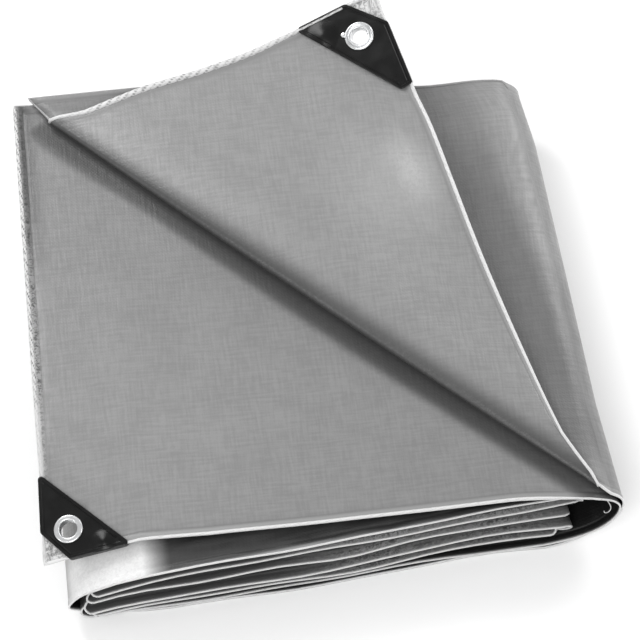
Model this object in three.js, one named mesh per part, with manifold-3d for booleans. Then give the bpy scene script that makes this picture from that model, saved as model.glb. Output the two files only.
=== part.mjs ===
import * as THREE from "three";
import { mergeVertices } from "three/addons/utils/BufferGeometryUtils.js";
import Module from "manifold-3d";

const wasm = await Module();
wasm.setup();
const { Manifold, Mesh: SolidMesh } = wasm;

// Driving dimensions in mm. The sheet is drawn in its own working frame, with X along the front hem,
// and the finished group is moved so that the origin is the middle of the underside.
const clothThick = 1.8;
const hemThick = 3;
const hemWide = 8;
const hemBlend = 10.5;
const bottomHeight = hemThick / 2;
const originShift = [247.9, 245.7];

// Flaps, patches and eyelets
const cornerDroop = 16;
const plateThick = 1.2;
const plateGap = 0.4;
const eyeletGap = 0.3;
const boreRadius = 7.8;
const barrelRadius = 8.9;
const holeRadius = 9.3;
const flangeThick = 1.4;
const frontFlange = 12.5;
const flapFlange = 13.8;
const flapTab = { u: 12.9, v: -7.8, radius: 2.6 };

// Layers in the order the sheet runs, from the top layer down round the outer fold and back up to the
// second layer. Heights are of the middle of the cloth. frontMid and backMid are the edges at midX,
// and the slopes turn each edge by a few degrees, as an uneven fold does.
const midX = 245;
const layers = [
  { name: "top", height: 84, frontMid: 14, frontSlope: 0, backMid: 446, backSlope: 0, droops: false },
  { name: "floor", height: 1.5, frontMid: -14, frontSlope: 0.047, backMid: 449, backSlope: -0.045, droops: true },
  { name: "third", height: 69, frontMid: -6, frontSlope: 0.083, backMid: 454, backSlope: -0.05, droops: true },
  { name: "fourth", height: 63, frontMid: -5, frontSlope: 0.083, backMid: 450, backSlope: -0.05, droops: true },
  { name: "fifth", height: 57, frontMid: -7, frontSlope: 0.077, backMid: 452, backSlope: -0.045, droops: true },
  { name: "sixth", height: 50, frontMid: -9, frontSlope: 0.077, backMid: 446, backSlope: -0.05, droops: true },
  { name: "seventh", height: 44, frontMid: -9.5, frontSlope: 0.068, backMid: 449, backSlope: -0.05, droops: true },
  { name: "eighth", height: 38, frontMid: -11, frontSlope: 0.068, backMid: 443, backSlope: -0.04, droops: true },
  { name: "ninth", height: 31, frontMid: -15, frontSlope: 0.068, backMid: 447, backSlope: -0.045, droops: true },
  { name: "twelfth", height: 13, frontMid: -13, frontSlope: 0.055, backMid: 444, backSlope: -0.045, droops: true },
  { name: "eleventh", height: 19, frontMid: -15, frontSlope: 0.055, backMid: 448, backSlope: -0.05, droops: true },
  { name: "tenth", height: 25, frontMid: -12, frontSlope: 0.055, backMid: 442, backSlope: -0.04, droops: true },
  { name: "thirteenth", height: 7, frontMid: -11, frontSlope: 0.047, backMid: 446, backSlope: -0.045, droops: true },
  { name: "second", height: 78, frontMid: 10, frontSlope: 0, backMid: 454, backSlope: -0.07, droops: false },
];

// Turns between one layer and the next. noseX is the outermost X, noseShare the height of the nose as
// a share of the turn's height, and the runs are how far in each quarter reaches.
const turns = [
  { side: "right", noseX: 497, noseShare: 0.73, upperRun: 27, lowerRun: 65, steps: 11 },
  { side: "left", noseX: 14.5, noseShare: 0.5, upperRun: 20, lowerRun: 22, steps: 9 },
  { side: "right", noseX: 464, noseShare: 0.5, upperRun: 5, lowerRun: 5, steps: 4 },
  { side: "left", noseX: 36, noseShare: 0.5, upperRun: 5, lowerRun: 5, steps: 4 },
  { side: "right", noseX: 465, noseShare: 0.55, upperRun: 7, lowerRun: 7, steps: 4 },
  { side: "left", noseX: 31, noseShare: 0.5, upperRun: 5, lowerRun: 5, steps: 4 },
  { side: "right", noseX: 453, noseShare: 0.5, upperRun: 5, lowerRun: 5, steps: 4 },
  { side: "left", noseX: 28, noseShare: 0.5, upperRun: 5, lowerRun: 5, steps: 4 },
  { side: "right", noseX: 456, noseShare: 0.5, upperRun: 10, lowerRun: 10, steps: 6 },
  { side: "left", noseX: 34, noseShare: 0.5, upperRun: 4, lowerRun: 4, steps: 4 },
  { side: "right", noseX: 442, noseShare: 0.5, upperRun: 4, lowerRun: 4, steps: 4 },
  { side: "left", noseX: 24, noseShare: 0.5, upperRun: 9, lowerRun: 9, steps: 6 },
  { side: "right", noseX: 486, noseShare: 0.69, upperRun: 22, lowerRun: 50, steps: 10 },
];
const spansPerLayer = 4;
const topStart = { x: 483.5 };
const hemEndX = 2;

// The diagonal fold of the top layer: its centre line and the radius of the roll along it.
const foldRight = { x: 476, y: 12, radius: 4 };
const foldLeft = { x: 36, y: 446, radius: 5 };
const foldMiddleRadius = 8;
const topBackEdge = [
  { x: 16, y: 474 },
  { x: 131, y: 474 },
  { x: 378, y: 450 },
  { x: 483.5, y: 446 },
];
const rollAngles = [30, 60, 90, 120, 150, 180];

// The folded-back corner: where its two hems run, in the working frame.
const flapCorner = new THREE.Vector3(348.8, 521.5, 132);
const flapLeftEnd = new THREE.Vector3(277.8, 506.5, 106);
const flapRightEnd = new THREE.Vector3(371.6, 430.4, 110);
const flapLeftHem = [
  { x: 62, y: 443, z: 93 },
  { x: 90, y: 451.5, z: 94.5 },
  { x: 128, y: 463.6, z: 96 },
  { x: 179, y: 474.8, z: 98.5 },
  { x: 227.4, y: 488.7, z: 101 },
];
const flapRightHem = [
  { x: 458.3, y: 38, z: 93 },
  { x: 446, y: 74.8, z: 95 },
  { x: 432, y: 133, z: 97 },
  { x: 417.6, y: 197.9, z: 99 },
  { x: 405.9, y: 255.4, z: 101 },
  { x: 394, y: 321.3, z: 104 },
  { x: 383.5, y: 380, z: 107 },
];
const flapFlatFrom = 1.17;
const flapRows = [0.12, 0.28, 0.45, 0.62, 0.8, 1];
const flapFlatRows = [0.8, 0.55, 0.3, 0.08];

// Patch outlines in each corner's own plane, with u along the first hem and v square to it.
const frontPatch = {
  outline: [
    { u: 24, v: -1.7 },
    { u: 72.5, v: -1.7 },
    { u: 74.6, v: 0.4 },
    { u: 74.2, v: 3 },
    { u: 3.6, v: 75.4 },
    { u: 0.6, v: 76 },
    { u: -1.8, v: 73.6 },
    { u: -1.8, v: 28 },
    { u: -0.2, v: 25.2 },
    { u: 21, v: -0.6 },
  ],
  eyelet: { u: 23.2, v: 24.4 },
};
const flapPatch = {
  outline: [
    { u: 32, v: -1.7 },
    { u: 76.5, v: -1.7 },
    { u: 79, v: 1 },
    { u: 77.6, v: 6 },
    { u: 11.6, v: 98 },
    { u: 5.6, v: 99.4 },
    { u: -1, v: 95.5 },
    { u: -1.7, v: 90 },
    { u: -1.7, v: 34 },
    { u: 1.2, v: 30.6 },
    { u: 23.6, v: 5.2 },
  ],
  eyelet: { u: 28.2, v: 34 },
};

function clamp01(value) {
  return Math.min(1, Math.max(0, value));
}

function mix(a, b, share) {
  return a + (b - a) * share;
}

function alongTable(table, x) {
  if (x <= table[0].x) {
    return table[0].y;
  }
  for (let i = 1; i < table.length; i += 1) {
    if (x <= table[i].x) {
      const share = (x - table[i - 1].x) / (table[i].x - table[i - 1].x);
      return mix(table[i - 1].y, table[i].y, share);
    }
  }
  return table[table.length - 1].y;
}

// Edges of a layer at a given X.
function frontAt(layer, x) {
  if (layer.name === "second") {
    if (x < 82) {
      return 12 - (6.5 * (82 - x)) / 83.3;
    }
    if (x < 140) {
      return mix(12, 9.5, (x - 82) / 58);
    }
    return 9.5 - 8 * clamp01((x - 400) / 75) ** 1.5;
  }
  if (layer.name === "top") {
    return 14 - 9 * clamp01((x - 470) / 14);
  }
  return layer.frontMid + layer.frontSlope * (x - midX);
}

function backAt(layer, x) {
  if (layer.name === "top") {
    return layer.backMid;
  }
  return layer.backMid + layer.backSlope * (x - midX);
}

// The packet narrows towards the back on its right side.
const rightTaper = [
  { x: 0, y: 0 },
  { x: 100, y: 7 },
  { x: 250, y: 10 },
  { x: 380, y: 13 },
  { x: 446, y: 20 },
];

function taperAt(x, y) {
  return alongTable(rightTaper, y) * clamp01((x - 300) / 190);
}

// The left ends of the lower layers sag, more at the front than at the back.
function leftSag(x, y) {
  if (x >= 100) {
    return 1;
  }
  const reach = Math.max(0, 1 - ((100 - Math.max(x, 12)) / 88) ** 2);
  const fade = 1 - 0.7 * clamp01(y / 450);
  return 1 - (0.58 - 0.58 * Math.sqrt(reach)) * fade;
}

// The packet is a little lower at the back right, and its layers wave together.
function settle(x, y) {
  const lower = 0.1 * clamp01((x - 100) / 390) * clamp01((y - 110) / 340);
  const away = clamp01(Math.max(x - 95, y - 112) / 60);
  const wave = 0.016 * Math.sin(x / 78 + 0.4) * Math.sin(y / 92 + 0.9) * away;
  return 1 - lower + wave;
}

function liftTo(height, x, y, droops) {
  const share = settle(x, y) * (droops ? leftSag(x, y) : 1);
  return bottomHeight + (height - bottomHeight) * share;
}

// One run of section points, each with its X, height and the two layers its edges blend between.
function sectionPoints() {
  const points = [];
  let x = topStart.x;
  for (let i = 0; i < turns.length; i += 1) {
    const from = layers[i];
    const to = layers[i + 1];
    const turn = turns[i];
    const outward = turn.side === "right" ? 1 : -1;
    const falling = from.height > to.height;
    const upper = Math.max(from.height, to.height);
    const lower = Math.min(from.height, to.height);
    const noseHeight = mix(lower, upper, turn.noseShare);
    const firstRun = falling ? turn.upperRun : turn.lowerRun;
    const start = turn.noseX - outward * firstRun;
    if (i > 0) {
      for (let k = 1; k < spansPerLayer; k += 1) {
        points.push({ x: mix(x, start, k / spansPerLayer), height: from.height, from, to: from, share: 0 });
      }
    }
    for (let k = 0; k <= turn.steps; k += 1) {
      const angle = (Math.PI * k) / turn.steps;
      const firstHalf = k / turn.steps <= 0.5;
      const run = firstHalf === falling ? turn.upperRun : turn.lowerRun;
      const side = falling ? Math.cos(angle) : -Math.cos(angle);
      const rise = side > 0 ? upper - noseHeight : noseHeight - lower;
      const px = turn.noseX - outward * run + outward * run * Math.sin(angle);
      if (i === 0 && angle < Math.PI / 2 && px < topStart.x - 0.5) {
        continue;
      }
      points.push({ x: px, height: noseHeight + side * rise, from, to, share: k / turn.steps });
      x = px;
    }
  }
  const last = layers[layers.length - 1];
  const stops = [380, 290, 200, 140, 82, 12.5, 10, hemEndX];
  for (const stop of stops) {
    points.push({ x: stop, height: last.height, from: last, to: last, share: 0 });
  }
  return points;
}

// Stations across the sheet, as shares from the front edge to the back edge.
const depthNominal = 460;
const foldLeftShare = 0.935;
const stations = [
  0,
  hemWide / depthNominal,
  hemBlend / depthNominal,
  0.204,
  0.36,
  0.54,
  0.72,
  foldLeftShare - hemBlend / depthNominal,
  foldLeftShare - hemWide / depthNominal,
  foldLeftShare,
  1 - hemBlend / depthNominal,
  1 - hemWide / depthNominal,
  1,
];
const foldStation = 9;

function hemAt(distance) {
  return distance <= hemWide + 0.01 ? hemThick : clothThick;
}

function stationThick(index) {
  const share = stations[index];
  return hemAt(Math.min(share, 1 - share) * depthNominal);
}

// Grid of the sheet's middle surface: one row for each station, one column for each section point.
function stripPoint(sectionPoint, share) {
  const { x, height, from, to } = sectionPoint;
  const front = mix(frontAt(from, x), frontAt(to, x), sectionPoint.share);
  const back = mix(backAt(from, x), backAt(to, x), sectionPoint.share);
  const y = mix(front, back, share);
  const droopFrom = from.droops ? 1 : 0;
  const droopTo = to.droops ? 1 : 0;
  const droops = mix(droopFrom, droopTo, sectionPoint.share) > 0.4;
  return new THREE.Vector3(x - taperAt(x, y), y, liftTo(height, x, y, droops));
}

function foldPoint(share) {
  const along = share / foldLeftShare;
  const x = mix(foldRight.x, foldLeft.x, along);
  const y = mix(foldRight.y, foldLeft.y, along);
  const ends = mix(foldRight.radius, foldLeft.radius, along);
  const radius = ends + (foldMiddleRadius - ends) * Math.sin(Math.PI * along);
  return { x, y, radius };
}

function topHeight(x, y) {
  const outer = turns[0];
  const noseHeight = mix(layers[1].height, layers[0].height, outer.noseShare);
  const bend = clamp01((x - (outer.noseX - outer.upperRun)) / outer.upperRun);
  const height = noseHeight + (layers[0].height - noseHeight) * Math.sqrt(1 - bend * bend);
  return liftTo(height, x, y, false);
}

const topColumns = [0, 0.12, 0.3, 0.5, 0.7, 0.86, 0.95, 0.98];

function topPoint(share, column) {
  const fraction = topColumns[column];
  let left;
  if (share <= foldLeftShare) {
    left = foldPoint(share);
  } else {
    const past = (share - foldLeftShare) / (1 - foldLeftShare);
    left = { x: mix(foldLeft.x, topBackEdge[0].x, past), y: mix(foldLeft.y, topBackEdge[0].y, past) };
  }
  const right = stripPoint(sectionStart, share);
  right.x = sectionStart.x;
  const x = mix(left.x, right.x, fraction);
  let y = mix(left.y, right.y, fraction);
  const straight = mix(topBackEdge[0].y, right.y, (x - topBackEdge[0].x) / (right.x - topBackEdge[0].x));
  y += (alongTable(topBackEdge, x) - straight) * share ** 6 * (fraction > 0 ? 1 : 0);
  return new THREE.Vector3(x - taperAt(x, y) * Math.min(1, fraction * 2), y, topHeight(x, y));
}

const section = sectionPoints();
const sectionStart = section[0];

// Sheet builder: collects middle-surface points with a thickness each, then closes both faces.
function makeSheet() {
  return { points: [], thick: [], faces: [] };
}

function addPoint(sheet, point, thick) {
  sheet.points.push(point);
  sheet.thick.push(thick);
  return sheet.points.length - 1;
}

function addQuad(sheet, a, b, c, d) {
  sheet.faces.push([a, b, c]);
  sheet.faces.push([a, c, d]);
}

function closeSheet(sheet) {
  const normals = sheet.points.map(() => new THREE.Vector3());
  const ab = new THREE.Vector3();
  const ac = new THREE.Vector3();
  for (const [a, b, c] of sheet.faces) {
    ab.subVectors(sheet.points[b], sheet.points[a]);
    ac.subVectors(sheet.points[c], sheet.points[a]);
    ab.cross(ac);
    for (const index of [a, b, c]) {
      normals[index].add(ab);
    }
  }
  const count = sheet.points.length;
  const positions = new Float32Array(count * 6);
  sheet.points.forEach((point, index) => {
    const normal = normals[index].normalize();
    const half = sheet.thick[index] / 2;
    positions.set([point.x + normal.x * half, point.y + normal.y * half, point.z + normal.z * half], index * 3);
    const under = (count + index) * 3;
    positions.set([point.x - normal.x * half, point.y - normal.y * half, point.z - normal.z * half], under);
  });
  const triangles = [];
  const edges = new Map();
  for (const [a, b, c] of sheet.faces) {
    triangles.push(a, b, c, count + a, count + c, count + b);
    for (const [from, to] of [[a, b], [b, c], [c, a]]) {
      edges.set(`${from},${to}`, [from, to]);
    }
  }
  for (const [from, to] of edges.values()) {
    if (!edges.has(`${to},${from}`)) {
      triangles.push(from, count + from, count + to, from, count + to, to);
    }
  }
  return new Manifold(
    new SolidMesh({ numProp: 3, vertProperties: positions, triVerts: new Uint32Array(triangles) }),
  );
}

// Plane of the drooping corner of the second layer, hinged on two points of its grid.
function droopPlane(grid) {
  const lastColumn = grid[0].length - 1;
  const hingeFront = grid[2][lastColumn - 3];
  const hingeLeft = grid[3][lastColumn - 2];
  const corner = grid[0][lastColumn];
  const alongHinge = new THREE.Vector2(hingeLeft.x - hingeFront.x, hingeLeft.y - hingeFront.y);
  const across = new THREE.Vector2(alongHinge.y, -alongHinge.x).normalize();
  const reach = (point) => (point.x - hingeFront.x) * across.x + (point.y - hingeFront.y) * across.y;
  const cornerReach = reach(corner);
  return (point) => (cornerDroop * Math.max(0, reach(point) / cornerReach));
}

function buildTarp() {
  const sheet = makeSheet();
  const topGrid = [];
  const stripGrid = [];
  stations.forEach((share) => {
    topGrid.push(topColumns.map((fraction, column) => topPoint(share, column)));
    stripGrid.push(section.map((sectionPoint) => stripPoint(sectionPoint, share)));
  });
  const lastColumn = section.length - 1;
  stripGrid.forEach((row, index) => {
    section.forEach((sectionPoint, column) => {
      if (sectionPoint.height === bottomHeight) {
        row[column].z = stationThick(index) / 2;
      }
    });
    const share = clamp01(1 - row[lastColumn].y / 94);
    row[lastColumn].x -= 3.3 * share;
    row[lastColumn - 1].x -= 3.3 * share;
    row[lastColumn - 2].x -= 3 * share;
  });
  const droop = droopPlane(stripGrid);
  for (let row = 0; row < 4; row += 1) {
    for (let column = lastColumn - 4; column <= lastColumn; column += 1) {
      stripGrid[row][column].z -= droop(stripGrid[row][column]);
    }
  }
  const corner = {
    origin: stripGrid[0][lastColumn].clone(),
    alongFront: stripGrid[0][lastColumn - 3].clone(),
    alongLeft: stripGrid[2][lastColumn].clone(),
  };

  const indexGrid = stations.map((share, row) => {
    const thick = stationThick(row);
    const top = topGrid[row].map((point) => addPoint(sheet, point, thick));
    const strip = stripGrid[row].map((point, column) => {
      const inHem = column >= lastColumn - 1;
      return addPoint(sheet, point, inHem ? hemThick : thick);
    });
    return [...top, ...strip];
  });
  for (let row = 0; row + 1 < stations.length; row += 1) {
    for (let column = 0; column + 1 < indexGrid[0].length; column += 1) {
      addQuad(
        sheet,
        indexGrid[row][column],
        indexGrid[row][column + 1],
        indexGrid[row + 1][column + 1],
        indexGrid[row + 1][column],
      );
    }
  }

  // Roll along the diagonal, then the flap, row by row away from the fold.
  const alongFold = new THREE.Vector2(foldLeft.x - foldRight.x, foldLeft.y - foldRight.y).normalize();
  const outward = new THREE.Vector2(-alongFold.y, alongFold.x);
  const rows = [];
  for (const degrees of rollAngles) {
    const angle = (degrees * Math.PI) / 180;
    const row = [];
    for (let index = 0; index <= foldStation; index += 1) {
      const base = topGrid[index][0];
      const { radius } = foldPoint(stations[index]);
      const out = radius * Math.sin(angle);
      const up = radius * (1 - Math.cos(angle));
      row.push(new THREE.Vector3(base.x + outward.x * out, base.y + outward.y * out, base.z + up));
    }
    rows.push(row);
  }
  const firstFlapRow = rows[rows.length - 1];
  const leftStop = flapCorner.clone().lerp(flapLeftEnd, flapFlatFrom);
  const rightStop = flapCorner.clone().lerp(flapRightEnd, flapFlatFrom);
  const tablePoint = (entry) => new THREE.Vector3(entry.x, entry.y, entry.z);
  const leftHem = new THREE.CatmullRomCurve3([firstFlapRow[foldStation], ...flapLeftHem.map(tablePoint), leftStop]);
  const rightHem = new THREE.CatmullRomCurve3([firstFlapRow[0], ...flapRightHem.map(tablePoint), rightStop]);
  const rowBetween = (right, left, bulge) => {
    const length = right.distanceTo(left);
    return stations.slice(0, foldStation + 1).map((share, index) => {
      const fromRight = (share / foldLeftShare) * length;
      let distance = fromRight;
      if (index > 0 && index < 3) {
        distance = Math.min(share * depthNominal * 1.41, length * 0.16 * index);
      } else if (index > foldStation - 3 && index < foldStation) {
        const hemShare = foldLeftShare - share;
        distance = length - Math.min(hemShare * depthNominal * 1.41, length * 0.16 * (foldStation - index));
      }
      const along = distance / length;
      const point = right.clone().lerp(left, along);
      point.z += bulge * Math.sin(Math.PI * along);
      return point;
    });
  };
  for (const share of flapRows) {
    const bulge = 8 * (1 - share) ** 2;
    rows.push(rowBetween(rightHem.getPointAt(share), leftHem.getPointAt(share), share === 1 ? 0 : bulge));
  }
  for (const share of flapFlatRows) {
    rows.push(
      rowBetween(flapCorner.clone().lerp(flapRightEnd, share), flapCorner.clone().lerp(flapLeftEnd, share), 0),
    );
  }
  let previous = indexGrid.slice(0, foldStation + 1).map((row) => row[0]);
  rows.forEach((row) => {
    const next = row.map((point, index) => {
      const fromEnd = Math.min(stations[index], foldLeftShare - stations[index]) * depthNominal;
      return addPoint(sheet, point, hemAt(fromEnd));
    });
    for (let index = 0; index < foldStation; index += 1) {
      addQuad(sheet, next[index], previous[index], previous[index + 1], next[index + 1]);
    }
    previous = next;
  });
  return { solid: closeSheet(sheet), corner };
}

// Local frame of a corner: X along the first hem, Y square to it in the cloth's plane.
function cornerFrame(origin, alongFirst, alongSecond) {
  const first = alongFirst.clone().sub(origin).normalize();
  const second = alongSecond.clone().sub(origin);
  const normal = first.clone().cross(second).normalize();
  const square = normal.clone().cross(first);
  return new THREE.Matrix4().makeBasis(first, square, normal).setPosition(origin);
}

// Solid of a closed geometry, for cutting and joining.
function solidOf(geometry) {
  geometry.deleteAttribute("normal");
  geometry.deleteAttribute("uv");
  const merged = mergeVertices(geometry, 1e-4);
  return new Manifold(
    new SolidMesh({
      numProp: 3,
      vertProperties: new Float32Array(merged.attributes.position.array),
      triVerts: new Uint32Array(merged.index.array),
    }),
  );
}

function prism(outline, low, high) {
  const shape = new THREE.Shape(outline.map((entry) => new THREE.Vector2(entry.u, entry.v)));
  const geometry = new THREE.ExtrudeGeometry(shape, { depth: high - low, bevelEnabled: false });
  return solidOf(geometry.translate(0, 0, low));
}

// Upright cylinder centred on a point of the corner's plane.
function cylinderAt(centre, radius, height, sides) {
  const geometry = new THREE.CylinderGeometry(radius, radius, height, sides);
  return geometry.rotateX(Math.PI / 2).translate(centre.u, centre.v, centre.w ?? 0);
}

function buildPatch(patch, clothOutline) {
  const half = hemThick / 2 + plateGap + plateThick;
  const cavity = hemThick / 2 + plateGap;
  const body = prism(patch.outline, -half, half);
  const slot = prism(clothOutline, -cavity, cavity);
  const hole = solidOf(cylinderAt(patch.eyelet, holeRadius, 4 * half, 32));
  return body.subtract(slot).subtract(hole);
}

// Ring with a flange on each face, turned about its own axis, and a small tab on one rim if it has one.
function buildEyelet(patch, flangeRadius, tab) {
  const face = hemThick / 2 + plateGap + plateThick + eyeletGap;
  const top = face + flangeThick;
  const profile = [
    { u: boreRadius, v: -top + 0.5 },
    { u: boreRadius + 0.5, v: -top },
    { u: flangeRadius - 0.8, v: -top },
    { u: flangeRadius, v: -face - 0.6 },
    { u: flangeRadius, v: -face },
    { u: barrelRadius, v: -face },
    { u: barrelRadius, v: face },
    { u: flangeRadius, v: face },
    { u: flangeRadius, v: face + 0.6 },
    { u: flangeRadius - 0.8, v: top },
    { u: boreRadius + 0.5, v: top },
    { u: boreRadius, v: top - 0.5 },
  ];
  const closed = [...profile, profile[0]];
  const lathe = new THREE.LatheGeometry(closed.map((entry) => new THREE.Vector2(entry.u, entry.v)), 32);
  const { u, v } = patch.eyelet;
  let ring = solidOf(lathe.rotateX(Math.PI / 2).translate(u, v, 0));
  if (tab) {
    const centre = { u: u + tab.u, v: v + tab.v, w: face + flangeThick / 2 };
    ring = ring.add(solidOf(cylinderAt(centre, tab.radius, flangeThick, 16)));
  }
  return ring;
}

function toMesh(solid, name, material) {
  const { numProp, triVerts, vertProperties } = solid.getMesh();
  const positions = new Float32Array((vertProperties.length / numProp) * 3);
  for (let i = 0; i < positions.length / 3; i += 1) {
    positions[i * 3] = vertProperties[i * numProp];
    positions[i * 3 + 1] = vertProperties[i * numProp + 1];
    positions[i * 3 + 2] = vertProperties[i * numProp + 2];
  }
  const geometry = new THREE.BufferGeometry();
  geometry.setAttribute("position", new THREE.BufferAttribute(positions, 3));
  geometry.setIndex(new THREE.BufferAttribute(new Uint32Array(triVerts), 1));
  geometry.computeVertexNormals();
  const mesh = new THREE.Mesh(geometry, material);
  mesh.name = name;
  return mesh;
}

const clothMaterial = new THREE.MeshStandardMaterial({ color: 0x9c9ea0, roughness: 0.6, metalness: 0 });
const patchMaterial = new THREE.MeshStandardMaterial({ color: 0x232323, roughness: 0.45, metalness: 0 });
const eyeletMaterial = new THREE.MeshStandardMaterial({ color: 0xd8dadc, roughness: 0.3, metalness: 1 });

const tarp = buildTarp();
const frontFrame = cornerFrame(tarp.corner.origin, tarp.corner.alongFront, tarp.corner.alongLeft);
const flapFrame = cornerFrame(flapCorner, flapLeftEnd, flapRightEnd);

// How far each corner is from square, and the cloth's outline inside each patch, wider by the gap on
// the hems it wraps.
function leanOf(frame, alongSecond) {
  const local = alongSecond.clone().applyMatrix4(frame.clone().invert());
  return local.x / local.y;
}

function clothInside(lean) {
  return [
    { u: -plateGap, v: -plateGap },
    { u: 130, v: -plateGap },
    { u: 130, v: 130 },
    { u: -plateGap + lean * 130, v: 130 },
  ];
}

function leaning(patch, lean) {
  const moved = (entry) => ({ u: entry.u + lean * entry.v, v: entry.v });
  return { outline: patch.outline.map(moved), eyelet: moved(patch.eyelet) };
}

const frontLean = leanOf(frontFrame, tarp.corner.alongLeft);
const flapLean = leanOf(flapFrame, flapRightEnd);
const frontFitted = leaning(frontPatch, frontLean);
const flapFitted = leaning(flapPatch, flapLean);

function holeThrough(patch, matrix) {
  return solidOf(cylinderAt(patch.eyelet, holeRadius, 9, 32).applyMatrix4(matrix));
}

const tarpSolid = tarp.solid
  .subtract(holeThrough(frontFitted, frontFrame))
  .subtract(holeThrough(flapFitted, flapFrame));
const frontPlates = buildPatch(frontFitted, clothInside(frontLean));
const flapPlates = buildPatch(flapFitted, clothInside(flapLean));
const frontRing = buildEyelet(frontFitted, frontFlange, null);
const flapRing = buildEyelet(flapFitted, flapFlange, flapTab);

// Each corner is a group in its own frame, inside the packet's working frame.
function cornerGroup(name, matrix, meshes) {
  const corner = new THREE.Group();
  corner.name = name;
  matrix.decompose(corner.position, corner.quaternion, corner.scale);
  corner.add(...meshes);
  return corner;
}

const packet = new THREE.Group();
packet.name = "packet";
packet.position.set(-originShift[0], -originShift[1], 0);
packet.add(toMesh(tarpSolid, "tarp_sheet", clothMaterial));
packet.add(
  cornerGroup("front_corner", frontFrame, [
    toMesh(frontPlates, "front_corner_patch", patchMaterial),
    toMesh(frontRing, "front_eyelet", eyeletMaterial),
  ]),
);
packet.add(
  cornerGroup("flap_corner", flapFrame, [
    toMesh(flapPlates, "flap_corner_patch", patchMaterial),
    toMesh(flapRing, "flap_eyelet", eyeletMaterial),
  ]),
);

const group = new THREE.Group();
group.name = "folded_tarp";
group.add(packet);

export default group;
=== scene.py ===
import math

import bpy
import numpy as np
from mathutils import Matrix, Vector


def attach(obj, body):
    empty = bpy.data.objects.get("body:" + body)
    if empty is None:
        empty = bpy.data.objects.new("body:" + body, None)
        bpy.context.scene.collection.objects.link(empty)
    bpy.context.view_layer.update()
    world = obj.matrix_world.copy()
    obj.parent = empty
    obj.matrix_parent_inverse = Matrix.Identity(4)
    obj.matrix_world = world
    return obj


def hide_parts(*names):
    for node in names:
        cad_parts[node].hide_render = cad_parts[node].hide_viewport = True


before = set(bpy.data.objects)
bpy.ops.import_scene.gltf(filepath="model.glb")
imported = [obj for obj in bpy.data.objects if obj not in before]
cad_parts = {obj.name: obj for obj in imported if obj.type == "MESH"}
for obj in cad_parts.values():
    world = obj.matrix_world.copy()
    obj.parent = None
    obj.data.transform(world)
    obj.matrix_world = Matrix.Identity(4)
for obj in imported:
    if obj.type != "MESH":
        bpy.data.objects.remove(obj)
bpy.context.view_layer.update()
print("stage: frame loaded")

# Sizes below are in mm in the sheet's working frame, X along the front hem and Y towards the back.
# toRow moves a point to the part's own frame, in metres.
originShift = Vector((247.9, 245.7, 0))
body = "root"


def toRow(point):
    return (Vector(point) - originShift) / 1000


def srgb(hexColour):
    channels = [int(hexColour[i:i + 2], 16) / 255 for i in (1, 3, 5)]
    linear = [c / 12.92 if c <= 0.04045 else ((c + 0.055) / 1.055) ** 2.4 for c in channels]
    return (*linear, 1)


def clamp01(value):
    return min(1.0, max(0.0, value))


def mix(a, b, share):
    return a + (b - a) * share


def smooth(value, start, end):
    share = clamp01((value - start) / (end - start))
    return share * share * (3 - 2 * share)


def bump(x, centre, width):
    return math.exp(-((x - centre) / width) ** 2)


def alongTable(table, x):
    return float(np.interp(x, [row[0] for row in table], [row[1] for row in table]))


def addObject(name, data):
    thing = bpy.data.objects.new(name, data)
    bpy.context.scene.collection.objects.link(thing)
    return thing


def meshObject(name, points, faces, material, rounded=True):
    mesh = bpy.data.meshes.new(name)
    mesh.from_pydata(points, [], faces)
    mesh.materials.append(material)
    mesh.polygons.foreach_set("use_smooth", [rounded] * len(mesh.polygons))
    mesh.update()
    return addObject(name, mesh)


# What an object's modifier makes of it, as a plain mesh
def shapedMesh(thing):
    depsgraph = bpy.context.evaluated_depsgraph_get()
    return bpy.data.meshes.new_from_object(thing.evaluated_get(depsgraph))


def circle(u, v, radius, sides):
    angles = [2 * math.pi * k / sides for k in range(sides)]
    return [(u + radius * math.cos(angle), v + radius * math.sin(angle)) for angle in angles]


# Quads between rings of points, with a face over each end unless the last ring joins the first
def ringFaces(first, rings, sides, closed=False):
    faces = []
    for r in range(rings if closed else rings - 1):
        here, there = first + r * sides, first + (r + 1) % rings * sides
        for k in range(sides):
            j = (k + 1) % sides
            faces.append((here + k, here + j, there + j, there + k))
    if not closed:
        last = first + (rings - 1) * sides
        faces += [tuple(range(first, first + sides))[::-1], tuple(range(last, last + sides))]
    return faces


# Links a socket, or sets a plain value
def feed(tree, socket, value):
    if isinstance(value, bpy.types.NodeSocket):
        tree.links.new(value, socket)
    else:
        socket.default_value = value


def addNode(tree, kind, inputs=None, **settings):
    node = tree.nodes.new(kind)
    for name, value in settings.items():
        setattr(node, name, value)
    for key, value in (inputs or {}).items():
        feed(tree, node.inputs[key], value)
    return node


# The nodes used most, each giving its output socket
def compute(tree, operation, *values, **settings):
    inputs = dict(enumerate(values))
    return addNode(tree, "ShaderNodeMath", inputs, operation=operation, **settings).outputs[0]


def remap(tree, value, start, end, low=0, high=1, **settings):
    inputs = {"Value": value, "From Min": start, "From Max": end, "To Min": low, "To Max": high}
    return addNode(tree, "ShaderNodeMapRange", inputs, **settings).outputs[0]


def blend(tree, share, first, second):
    inputs = {0: share, 6: first, 7: second}
    return addNode(tree, "ShaderNodeMix", inputs, data_type="RGBA").outputs[2]


def noise(tree, place, scale, detail, **more):
    inputs = {"Vector": place, "Scale": scale, "Detail": detail, **more}
    return addNode(tree, "ShaderNodeTexNoise", inputs).outputs["Fac"]


def marked(tree, name):
    return addNode(tree, "ShaderNodeAttribute", attribute_name=name).outputs["Fac"]


def relief(tree, height, distance, strength, **more):
    inputs = {"Height": height, "Distance": distance, "Strength": strength, **more}
    return addNode(tree, "ShaderNodeBump", inputs).outputs["Normal"]


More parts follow.
